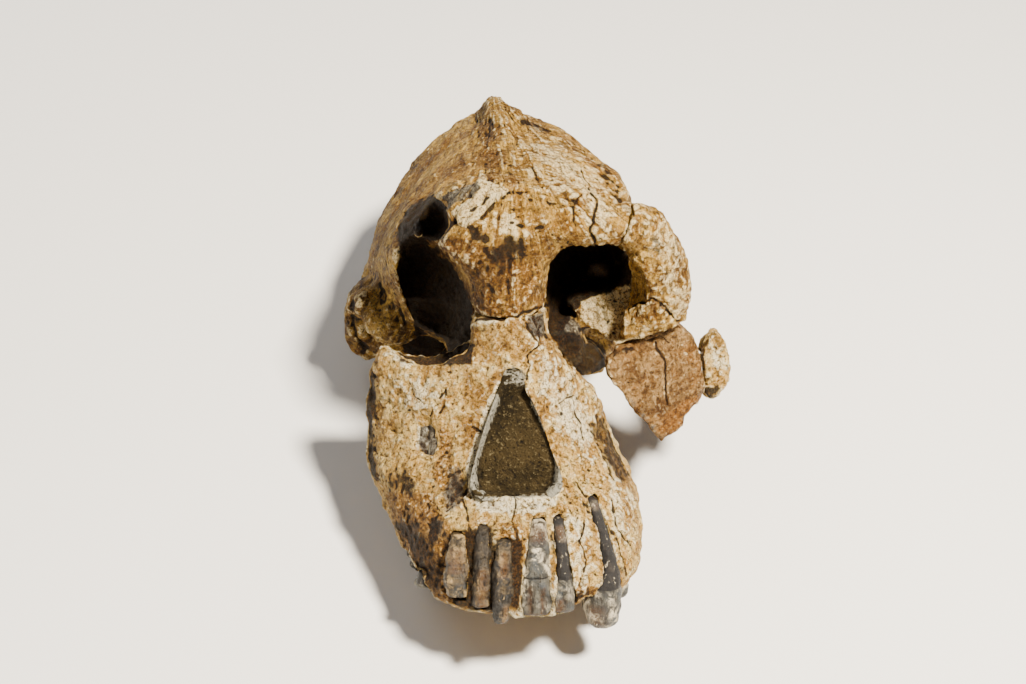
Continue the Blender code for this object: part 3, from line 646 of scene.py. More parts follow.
def toothFinish(name, tones):
    # glassy crown, mottled between two greys with fine upright cracks; the marks say where it is dark root,
    # cream, grey or stained brown
    made, tree, reads = newFinish(name)
    mottle = noiseOn(tree, reads["where"], 2.8, 6, 0.72, 0.6)
    fine = noiseOn(tree, reads["where"], 0.8, 4, 0.75)
    lines = noiseOn(tree, reads["along"], 0.9, 4, 0.7)
    colour = toned(tree, mottle, 0.38, 0.62, tones["base"], tones["light"])
    colour = layeredTones(tree, colour, tones, [
        (mottle, 0.42, 0.58, reads["pale"], "cream"),
        (mottle, 0.65, 0.35, reads["grey"], "blue"),
        (fine, 0.3, 0.55, reads["rustAndShade"], "stain"),
    ])
    root = toned(tree, mottle, 0.50, 0.70, tones["root"], tones["rootLight"])
    rootShare = mathOn(tree, "ADD", reads["dark"], mathOn(tree, "MULTIPLY", fine, 0.3))
    colour = blendOn(tree, rampOn(tree, rootShare, 0.42, 0.86), colour, root)
    colour = layeredTones(tree, colour, tones, [
        (lines, 0.62, 0.72, 0.8, "cream"),
        (lines, 0.46, 0.34, 0.9, "crack"),
        (fine, 0.44, 0.34, 0.8, "crack"),
    ])
    relief = bumpOn(tree, lines, 0.8, 0.8, bumpOn(tree, fine, 0.6, 0.6))
    roughness = mathOn(tree, "ADD", mathOn(tree, "MULTIPLY", reads["dark"], 0.20), 0.38)
    return finishedWith(made, colour, relief, roughness, 0.30)


enamelTones = {
    "base": (0.020, 0.019, 0.016),
    "light": (0.075, 0.068, 0.052),
    "cream": (0.640, 0.550, 0.380),
    "blue": (0.044, 0.051, 0.055),
    "stain": (0.045, 0.019, 0.005),
    "root": (0.007, 0.006, 0.006),
    "rootLight": (0.026, 0.020, 0.016),
    "crack": (0.014, 0.010, 0.007),
}
rootTones = {
    "base": (0.024, 0.018, 0.011),
    "light": (0.085, 0.058, 0.028),
    "cream": (0.400, 0.270, 0.115),
    "blue": (0.026, 0.028, 0.028),
    "stain": (0.080, 0.034, 0.008),
    "root": (0.008, 0.007, 0.006),
    "rootLight": (0.036, 0.029, 0.022),
    "crack": (0.010, 0.007, 0.005),
}

agedBone = boneFinish("aged_bone_finish", agedTones)
paleBone = boneFinish("pale_bone_finish", paleTones)
brownBone = boneFinish("brown_bone_finish", brownTones)
stoneFill = stoneFinish("stone_fill_finish", stoneTones)
enamel = toothFinish("enamel_finish", enamelTones)
rootBone = toothFinish("root_finish", rootTones)
print("finishes made")


# Bone pieces: each is its solid's own surface, smoothed, roughened and marked as its dictionary says.


def roughened(points, grain, look, seed):
    # height in millimetres at each point: swells, lumps and crumbs of layered noise, lines along the grain,
    # less round pits of two sizes and thin cracks between scattered points, and a mark where it is cut
    depth = look["swell"] * layered(points, 18, 3, seed)
    depth += look["lumpy"] * layered(points, 5.5, 3, seed + 30, 0.6)
    depth += look["crumbs"] * layered(points, 1.9, 2, seed + 60, 0.6)
    depth += look["lines"] * layered(grain, 2.4, 2, seed + 90, 0.6)
    big = pits(points, look["pitSize"], seed + 120, look["pitShare"])
    small = pits(points, look["pitSize"] * 0.45, seed + 150, look["pitShare"])
    cracks = fissures(points, look["crackSize"], seed + 180, look["crackWidth"])
    cracks *= ease(lumps(points, 11, seed + 210), 0.05, 0.45)
    depth -= look["pitDepth"] * (big + 0.5 * small) + look["crackDepth"] * cracks
    return depth, np.clip(0.75 * big + 0.45 * small, 0, 1), cracks


def thinTo(piece, triangles):
    # collapses the flattest places until about this many triangles are left
    now = sum(len(face.vertices) - 2 for face in piece.data.polygons)
    if now > triangles:
        thin = piece.modifiers.new("thin", "DECIMATE")
        thin.ratio = triangles / now
        thin.use_collapse_triangulate = True
        shapeNow(piece)


def dressBone(nodeName, material, look, seed, grainOf, calmOf=None):
    piece = skinOf(nodeName, nodeName + "_bone", look["voxel"])
    points, edges = skinArrays(piece)
    calm = np.ones(len(points)) if calmOf is None else calmOf(points)
    points = relaxed(points, edges, look["smoothing"], calm)
    normals = outwardOf(piece, points)
    toEye = eyeSpot - points
    toEye /= np.linalg.norm(toEye, axis=1)[:, None]
    shows = ease((normals * toEye).sum(1), 0.02, 0.22)
    wander = np.column_stack([wearAndShade["ragged"] * layered(points, 4.5, 3, seed + j, 0.6) for j in (300, 310)])
    spots = sighted(points) + wander
    grain = grainOf(points)
    depth, holes, cracks = roughened(points, grain, look, seed)
    marks = np.zeros((len(points), 4))
    marks[:, 0] = np.maximum(look["pitMark"] * holes, wearAndShade["crackMark"] * cracks)
    paintPatches(look["patches"], spots, marks, depth, shows)
    cutCracks(look["cracks"], spots, marks, depth, shows)
    shaped = points + depth[:, None] * normals
    # painted shade and painted highlight: darker where a point lies under its neighbours, paler where it
    # stands above them
    hollow = hollowness(shaped, edges, normals, 5)
    marks[:, 0] += wearAndShade["hollowShadeEdgeLight"] * np.clip(hollow - 0.02, 0, 0.3)
    marks[:, 1] += wearAndShade["hollowShadeEdgeLight"] * np.clip(-hollow - 0.03, 0, 0.25)
    writePoints(piece.data, kept(toRest(shaped)))
    storeMarks(piece, marks, grain)
    thinTo(piece, look["triangles"])
    settleIn(piece, nodeName, material)


def vaultGrain(points):
    # lines fan out from the peak of the vault: the angle round it, and about a tenth of the way out from it
    peakX, peakZ, spread = 1.0, 72.0, 42.0
    x, y, z = points.T
    angle = np.arctan2(x - peakX, peakZ - z)
    reach = np.hypot(x - peakX, peakZ - z)
    return np.column_stack([angle * spread, reach * 0.11, y * 0.16])


def faceGrain(points):
    # lines run down the face: full scale across, a quarter down it
    x, y, z = points.T
    return np.column_stack([x, y * 0.5, z * 0.25])


def archGrain(points):
    # lines follow the arch down: full scale across and in depth, a third along
    x, y, z = points.T
    return np.column_stack([x, y, z * 0.3])


# The same for every bone: how far the outlines of marks wander, how strongly painted shade darkens the
# hollows and painted highlight pales the edges, and how dark the scattered cracks are.
wearAndShade = {"ragged": 0.45, "hollowShadeEdgeLight": 3.0, "crackMark": 0.20}

# Each bone's look: the skin's cell size, triangles and rounds of smoothing; heights of its relief; its pits
# and cracks; and the patches and cracks seen in one place. All sizes are in millimetres.
# Outlines that are used twice: stains of two kinds in one place, and the crack between two bones.
browStain = [(-10.8, 66.0), (-6.3, 67.8), (-2.1, 64.8), (-3.0, 59.7), (-7.8, 58.5), (-11.4, 60.9)]
bridgeCrack = [(-12.3, 6.6), (-3.9, 6.6), (4.5, 8.7), (10.8, 11.4)]
jawStain = [(-26.7, -51.0), (-22.5, -47.4), (-20.1, -53.4), (-23.1, -61.8), (-26.7, -59.4)]
bridgeHole = [(3.3, 7.2), (9.6, 10.2), (10.5, 1.8), (8.1, 0.0), (5.7, 2.4)]
archStump = [(33.3, 9.9), (38.1, 11.4), (41.7, 12.6), (45.9, 9.6), (45.3, 6.0), (41.7, 3.3), (38.1, 1.2),
    (33.9, -1.2)]

braincaseLook = {
    "voxel": 0.62, "triangles": 192000, "smoothing": 22,
    "swell": 0.60, "lumpy": 0.42, "crumbs": 0.24, "lines": 0.36,
    "pitSize": 3.4, "pitShare": 0.20, "pitDepth": 0.55, "pitMark": 0.42,
    "crackSize": 24.0, "crackWidth": 0.30, "crackDepth": 0.26,
    "patches": [
        ("pale", [(-9.6, 51.0), (-8.1, 48.6), (-5.1, 47.4), (-1.5, 45.9), (-4.5, 42.6), (-7.2, 40.8),
            (-9.6, 37.8), (-13.8, 34.2), (-16.5, 35.4), (-18.3, 39.0), (-15.3, 40.8), (-12.0, 43.2),
            (-12.6, 45.6), (-10.8, 48.0)], 0.5, 1.50, 0.80),
        ("grey", [(-23.7, 40.8), (-20.1, 44.7), (-15.3, 47.1), (-10.8, 48.3), (-9.9, 45.6),
            (-12.9, 43.2), (-16.8, 41.7), (-20.1, 39.0)], 0.7, 1.0, -0.40),
        ("rustAndShade", browStain, 2.2, 0.62, -0.20),
        ("dark", browStain, 2.2, 0.26, 0.0),
        ("rustAndShade", [(-11.7, 57.3), (-6.9, 58.5), (-1.5, 57.3), (-0.3, 53.1), (-6.3, 51.3),
            (-12.0, 52.5)], 1.8, 0.66, -0.20),
        ("rustAndShade", [(-3.3, 51.0), (-0.3, 52.2), (3.0, 49.2), (0.9, 46.2), (-2.4, 46.8)], 1.4, 0.62, -0.10),
        # painted shade: the middle of the brow and its right flank, laid on in the rust tone where they lie
        # in shadow
        ("rustAndShade", [(-23.1, 31.8), (-12.9, 30.6), (-3.9, 27.0), (2.1, 24.0), (0.9, 13.8), (3.9, 7.8),
            (-12.9, 6.6), (-17.1, 18.0), (-22.5, 24.0)], 4.0, 1.1, 0.0),
        ("rustAndShade", [(-3.9, 28.2), (9.9, 25.2), (10.8, 10.8), (-3.9, 7.2)], 5.0, 0.62, 0.0),
        ("rustAndShade", [(-3.9, 43.8), (14.1, 41.4), (23.1, 37.8), (14.1, 33.0), (-0.9, 33.6),
            (-9.9, 36.0)], 6.0, 0.36, 0.0),
        ("pale", [(-10.5, 38.4), (2.1, 39.0), (5.1, 34.2), (-0.3, 31.2), (-6.3, 32.4),
            (-11.1, 34.2)], 4.0, 0.42, 0.0),
        ("dark", [(-13.8, 35.1), (-10.8, 34.2), (-6.0, 31.8), (-6.9, 28.8),
            (-12.9, 31.2)], 1.4, 0.66, -0.15),
        ("dark", [(-8.1, 28.2), (-3.9, 30.6), (-0.3, 31.8), (5.1, 29.4), (5.1, 25.2), (0.3, 22.8),
            (-3.9, 21.0), (-8.7, 22.8)], 3.0, 0.60, -0.15),
        # painted shade: the dark between the eye sockets below the brow, where it lies in shadow
        ("dark", [(-11.1, 25.2), (-2.7, 25.8), (-0.9, 19.8), (-4.5, 10.8), (-11.7, 10.2)], 6.0, 0.42, 0.0),
        # painted shade: the hole in the right brow, painted near black for the shade inside it
        ("dark", [(-27.6, 41.1), (-24.9, 42.9), (-21.9, 42.9), (-19.5, 40.2), (-19.2, 34.8),
            (-21.3, 30.6), (-24.9, 30.3), (-27.6, 32.4), (-28.5, 36.6)], 0.8, 1.4, 0.0),
        ("dark", [(-32.1, 39.0), (-28.5, 43.2), (-23.1, 44.4), (-26.7, 38.4), (-26.1, 30.0),
            (-21.9, 27.0), (-23.1, 24.0), (-29.7, 23.4), (-34.5, 22.8), (-34.5, 31.8)], 2.2, 0.90, -0.3),
        # painted shade: the inside of the right eye socket and the thin rim across it, near black for the
        # shade in the socket
        ("dark", [(-33.3, 24.0), (-30.3, 27.6), (-24.9, 27.0), (-20.1, 24.0), (-15.3, 18.6),
            (-12.6, 10.8), (-11.7, -0.9), (-17.4, -3.0), (-24.9, -4.5), (-32.7, -3.6), (-33.3, 0.0),
            (-28.8, 1.2), (-30.3, 9.0), (-33.3, 16.8), (-34.2, 21.0)], 1.2, 1.35, 0.0),
        # painted shade: the inside of the left eye socket, near black for the shade in the socket
        ("dark", [(10.5, 23.4), (12.9, 27.0), (18.6, 28.8), (29.7, 29.1), (35.1, 26.4), (36.6, 22.8),
            (35.1, 17.4), (27.3, 14.4), (20.7, 12.9), (17.1, 7.2), (12.9, 0.0), (10.2, 3.6),
            (9.9, 15.6)], 1.2, 1.2, 0.0),
        # pale bone on the floor of the left eye socket, pushed paler as painted light where the arch shades
        # it
        ("pale", [(20.1, 12.0), (26.1, 13.8), (33.9, 16.5), (36.3, 24.0), (38.1, 15.6), (36.3, 0.6),
            (32.7, -1.2), (26.1, 3.0), (21.6, 6.0)], 1.2, 1.3, 0.0),
        ("dark", [(11.7, 4.8), (21.3, 2.4), (27.9, -1.2), (28.5, -6.0), (26.1, -10.2), (19.5, -9.0),
            (13.5, -3.0)], 1.4, 0.72, 0.0),
        ("grey", [(12.9, 6.0), (17.1, 8.4), (20.1, 6.0), (21.9, 0.6), (17.1, -0.6),
            (12.9, 0.6)], 1.6, 0.70, 0.0),
        ("pale", [(3.3, 63.6), (14.7, 60.6), (26.7, 51.0), (32.7, 40.8), (27.3, 30.6), (20.1, 40.8),
            (10.5, 45.6), (3.3, 54.6)], 7.0, 0.54, 0.0),
        ("rustAndShade", [(-36.3, 54.6), (-24.9, 63.0), (-15.3, 54.6), (-21.9, 45.6), (-30.9, 40.8),
            (-38.7, 30.6), (-41.1, 36.6)], 9.0, 0.58, 0.0),
        ("grey", [(3.0, 66.3), (7.5, 67.2), (12.0, 64.8), (11.1, 62.7), (6.3, 63.6)], 1.8, 0.60, -0.15),
        ("", [(28.2, 55.2), (32.1, 51.6), (35.4, 47.4), (36.3, 43.5), (32.1, 43.8), (29.1, 48.0),
            (25.5, 52.8)], 0.8, 0.0, 0.9),
        ("dark", [(-51.3, 13.8), (-48.3, 16.8), (-45.9, 12.6), (-46.5, 3.6), (-45.3, -3.0),
            (-48.3, -3.0), (-50.7, 3.6)], 3.0, 0.48, 0.0),
        ("dark", [(-40.5, 27.6), (-37.5, 27.6), (-33.9, 18.6), (-32.7, 9.6), (-35.1, 3.6), (-38.7, 6.6),
            (-40.5, 15.6)], 4.0, 0.30, 0.0),
    ],
    "cracks": [
        ([(3.0, 66.3), (9.6, 64.5), (15.6, 61.5), (22.5, 57.6), (26.7, 52.5), (29.7, 47.7),
            (31.8, 42.9)], 1.2, 1.0, 0.50),
        ([(20.1, 52.2), (21.3, 48.6), (23.7, 45.6), (26.1, 42.0)], 0.28, 0.4, 0.50),
        ([(21.0, 44.7), (19.2, 42.6), (18.3, 39.6), (17.7, 36.6)], 0.30, 0.5, 0.50),
        ([(-2.4, 45.6), (5.1, 44.7), (11.1, 43.5), (19.5, 42.3)], 0.75, 0.45, 0.34),
        ([(4.5, 42.9), (10.5, 41.7), (18.6, 40.5)], 0.60, 0.35, 0.28),
        ([(0.0, 36.0), (5.1, 33.9), (9.9, 35.1)], 0.80, 0.5, 0.36),
        ([(25.5, 41.4), (24.3, 36.6), (23.4, 32.4), (25.5, 28.8)], 0.60, 0.8, 0.42),
        (bridgeCrack, 0.50, 0.5, 0.95),
        ([(-48.9, 12.0), (-48.6, 7.2), (-47.7, 1.8), (-45.3, -2.4)], 1.4, 1.6, 0.70),
        ([(-7.2, 43.5), (-10.5, 40.8), (-12.9, 38.4)], 0.40, 0.3, 0.35),
        ([(-34.2, 21.0), (-32.7, 15.6), (-30.0, 6.6), (-26.7, 1.8)], 0.60, 0.6, 0.60),
        ([(-38.1, 24.0), (-36.3, 15.6), (-32.7, 5.4)], 0.60, 0.5, 0.34),
    ],
}
faceLook = {
    "voxel": 0.50, "triangles": 192000, "smoothing": 8,
    "swell": 0.55, "lumpy": 0.50, "crumbs": 0.32, "lines": 0.16,
    "pitSize": 2.8, "pitShare": 0.26, "pitDepth": 0.60, "pitMark": 0.40,
    "crackSize": 16.0, "crackWidth": 0.26, "crackDepth": 0.30,
    "patches": [
        ("grey", [(-27.6, -25.5), (-25.5, -24.9), (-23.7, -27.0), (-23.4, -31.2), (-24.9, -33.9),
            (-27.0, -33.3), (-28.5, -30.6), (-28.5, -27.6)], 0.45, 1.1, -0.60),
        ("pale", [(-29.4, -26.4), (-27.9, -24.9), (-28.2, -33.0), (-29.4, -31.2)], 0.6, 0.8, 0.0),
        ("rustAndShade", [(-22.8, -23.4), (-18.3, -26.4), (-17.4, -36.0), (-21.3, -46.2), (-24.9, -42.0),
            (-23.4, -33.9)], 2.6, 0.74, -0.3),
        ("dark", [(-40.5, -39.0), (-33.3, -37.2), (-28.2, -41.4), (-30.9, -46.8),
            (-38.1, -45.0)], 3.0, 0.56, -0.3),
        ("dark", [(-46.5, -9.0), (-42.0, -7.2), (-40.5, -17.4), (-42.0, -29.4), (-40.5, -42.0),
            (-44.7, -42.6), (-47.1, -26.4)], 2.0, 0.74, -0.5),
        ("grey", [(-19.8, -38.4), (-15.9, -35.4), (-14.1, -41.4), (-15.3, -49.2), (-20.1, -51.6),
            (-21.9, -45.0)], 2.0, 0.66, -0.15),
        ("dark", [(-19.8, -39.0), (-15.3, -37.2), (-14.7, -48.0), (-20.1, -50.4)], 2.2, 0.56, -0.1),
        ("grey", jawStain, 3.0, 0.50, 0.0),
        ("dark", jawStain, 3.0, 0.52, -0.1),
        # these two patches: brown stain and painted shade on the lower right of the face, darker where it
        # lies in shade
        ("rustAndShade", [(-41.1, -46.2), (-26.1, -45.0), (-17.7, -59.4), (-18.3, -79.2), (-31.5, -79.2),
            (-39.3, -63.0)], 6.0, 1.2, -0.2),
        ("dark", [(-39.3, -52.8), (-29.1, -51.0), (-20.7, -63.0), (-20.1, -77.4), (-32.1, -75.6),
            (-38.1, -66.0)], 5.0, 0.58, -0.4),
        ("pale", [(-36.9, -10.8), (-27.9, -9.6), (-20.7, -15.0), (-26.7, -21.0),
            (-35.7, -18.6)], 5.0, 0.48, 0.0),
        # painted shade: the floor of the right eye socket on the face, near black for the shade in the socket
        ("dark", [(-38.1, 0.6), (-11.7, -0.6), (-12.3, -6.6), (-26.7, -7.2),
            (-33.9, -6.3)], 1.2, 0.95, -0.25),
        ("pale", [(-4.5, -11.4), (-2.1, -13.2), (-3.9, -18.0), (-7.5, -25.8), (-9.9, -38.4),
            (-10.8, -44.4), (-13.8, -45.0), (-13.5, -34.2), (-9.3, -21.6)], 1.0, 1.05, 0.2),
        ("grey", [(-5.1, -15.0), (-3.0, -15.0), (-6.9, -25.2), (-9.0, -35.4), (-10.5, -38.4),
            (-10.5, -31.2), (-8.1, -22.8)], 1.0, 0.50, 0.0),
        ("pale", [(-13.5, -43.8), (-9.9, -45.6), (-0.3, -45.3), (9.6, -45.6), (12.9, -47.4),
            (9.3, -51.0), (-3.3, -51.6), (-10.5, -49.8)], 1.6, 1.05, 0.15),
        ("grey", [(-11.7, -45.0), (-3.9, -47.4), (8.1, -47.4), (10.5, -49.8), (2.1, -53.4),
            (-8.1, -50.4)], 2.4, 0.42, 0.0),
        ("grey", [(-5.1, -10.2), (-0.3, -7.2), (4.2, -9.0), (3.9, -14.4), (-1.5, -15.6)], 1.4, 0.66, 0.0),
        ("grey", bridgeHole, 1.2, 0.70, -0.25),
        ("dark", bridgeHole, 1.4, 0.46, 0.0),
        ("rustAndShade", [(-10.5, 5.4), (-3.9, 6.0), (-4.5, -3.0), (-9.3, -4.2)], 3.5, 0.50, 0.0),
        ("dark", [(-3.6, 1.8), (-1.8, 3.6), (-0.9, 0.0), (-2.7, -1.8)], 1.2, 0.50, -0.2),
        ("pale", [(6.6, -2.4), (14.1, -5.4), (23.1, -17.4), (27.3, -29.4), (23.1, -38.4), (14.1, -29.4),
            (8.1, -17.4)], 6.0, 0.60, 0.0),
        ("dark", [(22.8, -24.6), (27.0, -21.0), (30.9, -26.4), (34.5, -33.9), (37.2, -42.0),
            (32.1, -43.2), (29.1, -37.2), (25.8, -31.8)], 2.4, 0.58, -0.8),
        ("grey", [(27.3, -29.4), (30.9, -29.4), (33.9, -33.9), (36.6, -42.0), (32.7, -42.6),
            (29.7, -37.2)], 2.0, 0.54, 0.0),
        ("pale", [(26.1, -36.0), (29.7, -38.4), (33.9, -43.2), (36.9, -47.4), (35.1, -59.4),
            (30.9, -59.4), (27.9, -47.4)], 3.0, 0.48, 0.1),
        ("dark", [(23.1, -7.2), (27.9, -9.6), (26.1, -12.6), (22.5, -10.2)], 1.4, 0.55, -0.2),
        ("rustAndShade", [(12.9, -41.4), (17.7, -38.4), (20.1, -47.4), (14.7, -48.9)], 3.0, 0.42, 0.0),
        ("rustAndShade", [(-4.5, -53.4), (3.3, -54.6), (3.3, -79.2), (-3.9, -77.4)], 3.0, 0.80, 0.0),
        ("dark", [(-5.7, -58.2), (3.3, -59.4), (2.7, -81.0), (-4.5, -79.2)], 2.4, 0.80, -0.2),
        ("dark", [(3.3, -53.4), (11.7, -52.2), (12.9, -58.2), (3.9, -59.4)], 3.0, 0.42, -0.1),
        ("dark", [(10.5, -57.0), (13.5, -56.4), (13.5, -81.0), (10.5, -81.0)], 1.6, 0.52, -0.2),
        ("rustAndShade", [(17.7, -71.4), (26.1, -73.2), (25.5, -82.2), (17.7, -82.2)], 2.0, 0.80, -0.2),
        ("dark", [(18.3, -73.8), (25.5, -75.0), (24.9, -82.2), (18.3, -82.2)], 2.0, 0.56, -0.2),
        ("dark", [(17.4, -74.4), (24.3, -76.8), (23.7, -81.6), (18.3, -81.0)], 1.6, 0.45, -0.3),
        ("rustAndShade", [(15.9, -72.9), (24.9, -74.4), (24.3, -79.2), (17.1, -78.6)], 2.4, 0.60, 0.0),
        ("grey", [(-18.3, -58.2), (-13.8, -57.0), (-13.2, -76.8), (-17.7, -77.4)], 2.0, 0.55, -0.2),
        ("dark", [(-20.7, -57.6), (-5.7, -54.6), (-5.1, -81.6), (-18.3, -79.8)], 3.0, 0.86, -0.2),
        ("grey", [(-10.8, -56.7), (-7.2, -56.7), (-7.2, -81.0), (-10.5, -81.6)], 1.8, 0.50, 0.0),
        ("dark", [(-7.5, -63.0), (-5.1, -63.0), (-4.8, -79.8), (-6.9, -79.8)], 0.5, 1.3, -0.9),
        ("pale", [(15.9, -51.0), (23.1, -53.4), (24.9, -65.4), (22.5, -75.6), (17.7, -73.2),
            (17.1, -59.4)], 3.5, 0.50, 0.0),
        ("dark", [(29.7, -65.4), (33.9, -67.2), (34.5, -79.2), (30.9, -80.4)], 2.0, 0.50, 0.0),
        ("dark", [(21.3, -48.0), (23.1, -47.4), (24.3, -51.6), (22.5, -52.2)], 1.0, 0.50, -0.3),
    ],
    "cracks": [
        (bridgeCrack, 0.50, 0.5, 0.95),
        ([(3.3, 7.2), (5.4, 3.3), (7.5, -0.6)], 0.50, 0.7, 0.60),
        ([(6.0, 8.1), (7.8, 3.9), (8.4, 0.0)], 0.50, 0.7, 0.60),
        ([(9.6, 10.2), (9.6, 6.0), (10.5, 1.2)], 0.42, 0.5, 0.45),
        ([(7.5, -0.9), (4.5, -4.2), (5.1, -7.2), (4.2, -11.4)], 0.30, 0.5, 0.52),
        ([(13.5, -18.9), (15.9, -17.1), (18.3, -16.5)], 0.26, 0.35, 0.44),
        ([(17.7, -16.8), (18.3, -20.4), (19.8, -24.6), (21.0, -29.4)], 0.28, 0.4, 0.46),
        ([(-12.9, -25.8), (-10.5, -26.7)], 0.50, 0.6, 0.60),
        ([(-21.9, -16.8), (-20.1, -13.8), (-20.7, -18.6), (-22.2, -21.0)], 0.36, 0.4, 0.34),
        ([(0.3, -45.6), (0.9, -49.2), (0.0, -53.4), (1.5, -59.4)], 0.45, 0.5, 0.34),
        ([(21.6, -53.4), (20.4, -59.4), (22.5, -65.4), (20.1, -72.6)], 0.34, 0.5, 0.36),
        ([(18.9, -42.6), (23.1, -47.4), (24.3, -52.2)], 0.44, 0.6, 0.48),
        ([(28.2, -53.4), (32.1, -60.9), (34.5, -69.9)], 0.42, 0.6, 0.45),
        ([(29.7, -47.4), (31.5, -56.4), (35.7, -62.4)], 0.40, 0.5, 0.40),
        ([(-12.9, -38.4), (-15.3, -47.4), (-12.9, -56.4)], 0.40, 0.4, 0.30),
        ([(-3.9, -38.4), (-5.1, -47.4)], 0.34, 0.3, 0.20),
    ],
}
archLook = {
    "voxel": 0.42, "triangles": 60000, "smoothing": 8,
    "swell": 0.50, "lumpy": 0.46, "crumbs": 0.30, "lines": 0.10,
    "pitSize": 2.4, "pitShare": 0.34, "pitDepth": 0.55, "pitMark": 0.36,
    "crackSize": 18.0, "crackWidth": 0.24, "crackDepth": 0.22,
    "patches": [
        ("grey", [(39.3, 32.4), (43.5, 33.6), (46.5, 29.4), (45.3, 25.2), (40.5, 25.8)], 3.4, 0.46, 0.0),
        ("grey", [(38.1, 19.8), (41.7, 21.6), (42.9, 15.6), (39.3, 13.8)], 3.4, 0.40, 0.0),
        ("pale", [(35.1, 42.6), (47.7, 39.6), (54.3, 27.6), (56.1, 12.6), (51.3, 5.4), (42.9, 9.6),
            (42.9, 24.0), (38.1, 33.6)], 6.0, 0.50, 0.0),
        ("rustAndShade", [(35.1, 25.2), (39.9, 27.6), (41.1, 12.6), (36.9, -0.9), (33.3, -0.9)], 2.6, 0.40, 0.0),
        ("pale", archStump, 0.8, 0.25, 0.5),
        ("rustAndShade", archStump, 1.0, 0.36, 0.0),
    ],
    "cracks": [
        ([(33.9, 9.9), (38.1, 11.7), (41.7, 12.9), (45.3, 10.8), (46.8, 7.8)], 0.40, 0.5, 0.32),
        ([(44.1, 10.8), (47.7, 7.2), (50.1, 6.0)], 0.40, 0.4, 0.30),
    ],
}
cheekLook = {
    "voxel": 0.38, "triangles": 60000, "smoothing": 7,
    "swell": 0.50, "lumpy": 0.42, "crumbs": 0.22, "lines": 0.06,
    "pitSize": 2.4, "pitShare": 0.26, "pitDepth": 0.42, "pitMark": 0.36,
    "crackSize": 16.0, "crackWidth": 0.24, "crackDepth": 0.20,
    "patches": [
        ("rustAndShade", [(44.7, -21.6), (50.1, -17.4), (57.3, -14.4), (56.7, -20.4), (52.5, -24.6),
            (46.5, -29.4), (42.9, -26.4)], 2.6, 0.70, 0.1),
        ("rustAndShade", [(29.7, -6.0), (41.1, -11.4), (41.1, -20.4), (38.1, -21.0), (30.9, -12.0)], 5.0, 0.44, 0.0),
        ("dark", [(28.2, -2.4), (32.7, -0.9), (36.3, -1.2), (36.9, -3.0), (32.7, -3.6),
            (29.7, -5.4)], 1.6, 0.60, -0.5),
        ("dark", [(42.6, -25.8), (45.3, -28.2), (47.7, -27.0), (45.9, -31.2),
            (43.5, -30.6)], 1.6, 0.50, -0.2),
        ("pale", [(47.7, 3.6), (53.1, 1.8), (56.1, -5.4), (57.3, -12.9), (53.1, -11.4),
            (48.9, -2.4)], 4.0, 0.36, 0.0),
        ("grey", [(36.9, -17.4), (41.1, -22.8), (44.7, -29.4), (42.3, -29.4), (38.1, -24.0),
            (34.5, -17.4)], 2.0, 0.50, -0.2),
        ("grey", [(56.1, -12.9), (58.2, -14.4), (53.7, -21.6), (50.1, -25.8), (48.9, -24.6),
            (53.1, -19.8)], 1.6, 0.52, 0.0),
    ],
    "cracks": [
        ([(42.9, 0.0), (44.1, -3.0), (45.6, -6.0), (45.6, -11.4), (46.5, -18.6)], 0.34, 0.8, 0.58),
        ([(40.5, 0.6), (44.1, 1.5), (46.5, -0.6)], 0.28, 0.3, 0.30),
    ],
}
splinterLook = {
    "voxel": 0.35, "triangles": 40000, "smoothing": 5,
    "swell": 0.80, "lumpy": 0.60, "crumbs": 0.36, "lines": 0.03,
    "pitSize": 2.2, "pitShare": 0.40, "pitDepth": 0.60, "pitMark": 0.50,
    "crackSize": 14.0, "crackWidth": 0.24, "crackDepth": 0.2,
    "patches": [
        ("dark", [(56.7, -12.6), (62.7, -13.2), (59.7, -17.4), (57.3, -16.8)], 1.4, 0.60, -0.3),
        ("pale", [(59.7, 3.6), (63.9, -0.9), (65.1, -8.4), (60.9, -10.8), (58.5, -2.4)], 3.0, 0.50, 0.0),
    ],
    "cracks": [],
}


def faceCalm(points):
    # 1 where the face is smoothed fully, and less in front below the nose, round the slots of the front
    # teeth
    slots = ease(-points[:, 2], 36, 41) * ease(-points[:, 1], 88, 96)
    return 1 - 0.72 * slots


dressBone("braincase", agedBone, braincaseLook, 100, vaultGrain)
dressBone("face", paleBone, faceLook, 200, faceGrain, faceCalm)
dressBone("left_orbital_arch", agedBone, archLook, 300, archGrain)
dressBone("left_cheekbone", brownBone, cheekLook, 400, faceGrain)
dressBone("cheek_splinter", paleBone, splinterLook, 500, faceGrain)


# Stone that fills the nose.


noseFill = {
    "top": (0.0, -88.0, 2.0),
    "bottom": (0.0, -107.5, -31.0),
    "halfWidths": ((0.0, 1.6), (0.16, 4.0), (0.38, 7.4), (0.62, 10.6), (0.83, 12.9), (0.93, 12.6),
        (1.0, 9.5)),
    "inset": -0.55,
    "sunk": 6.6,
    "rimSunk": 1.9,
    "stone": [(-1.2, -14.7), (3.0, -14.4), (5.4, -19.2), (8.7, -25.8), (11.4, -31.8), (12.9, -37.2),
        (12.0, -42.6), (9.6, -45.3), (-7.8, -45.6), (-10.5, -44.1), (-11.1, -39.6), (-9.6, -33.0),
        (-6.9, -25.2), (-4.2, -18.9)],
    "back": 18.5,
}


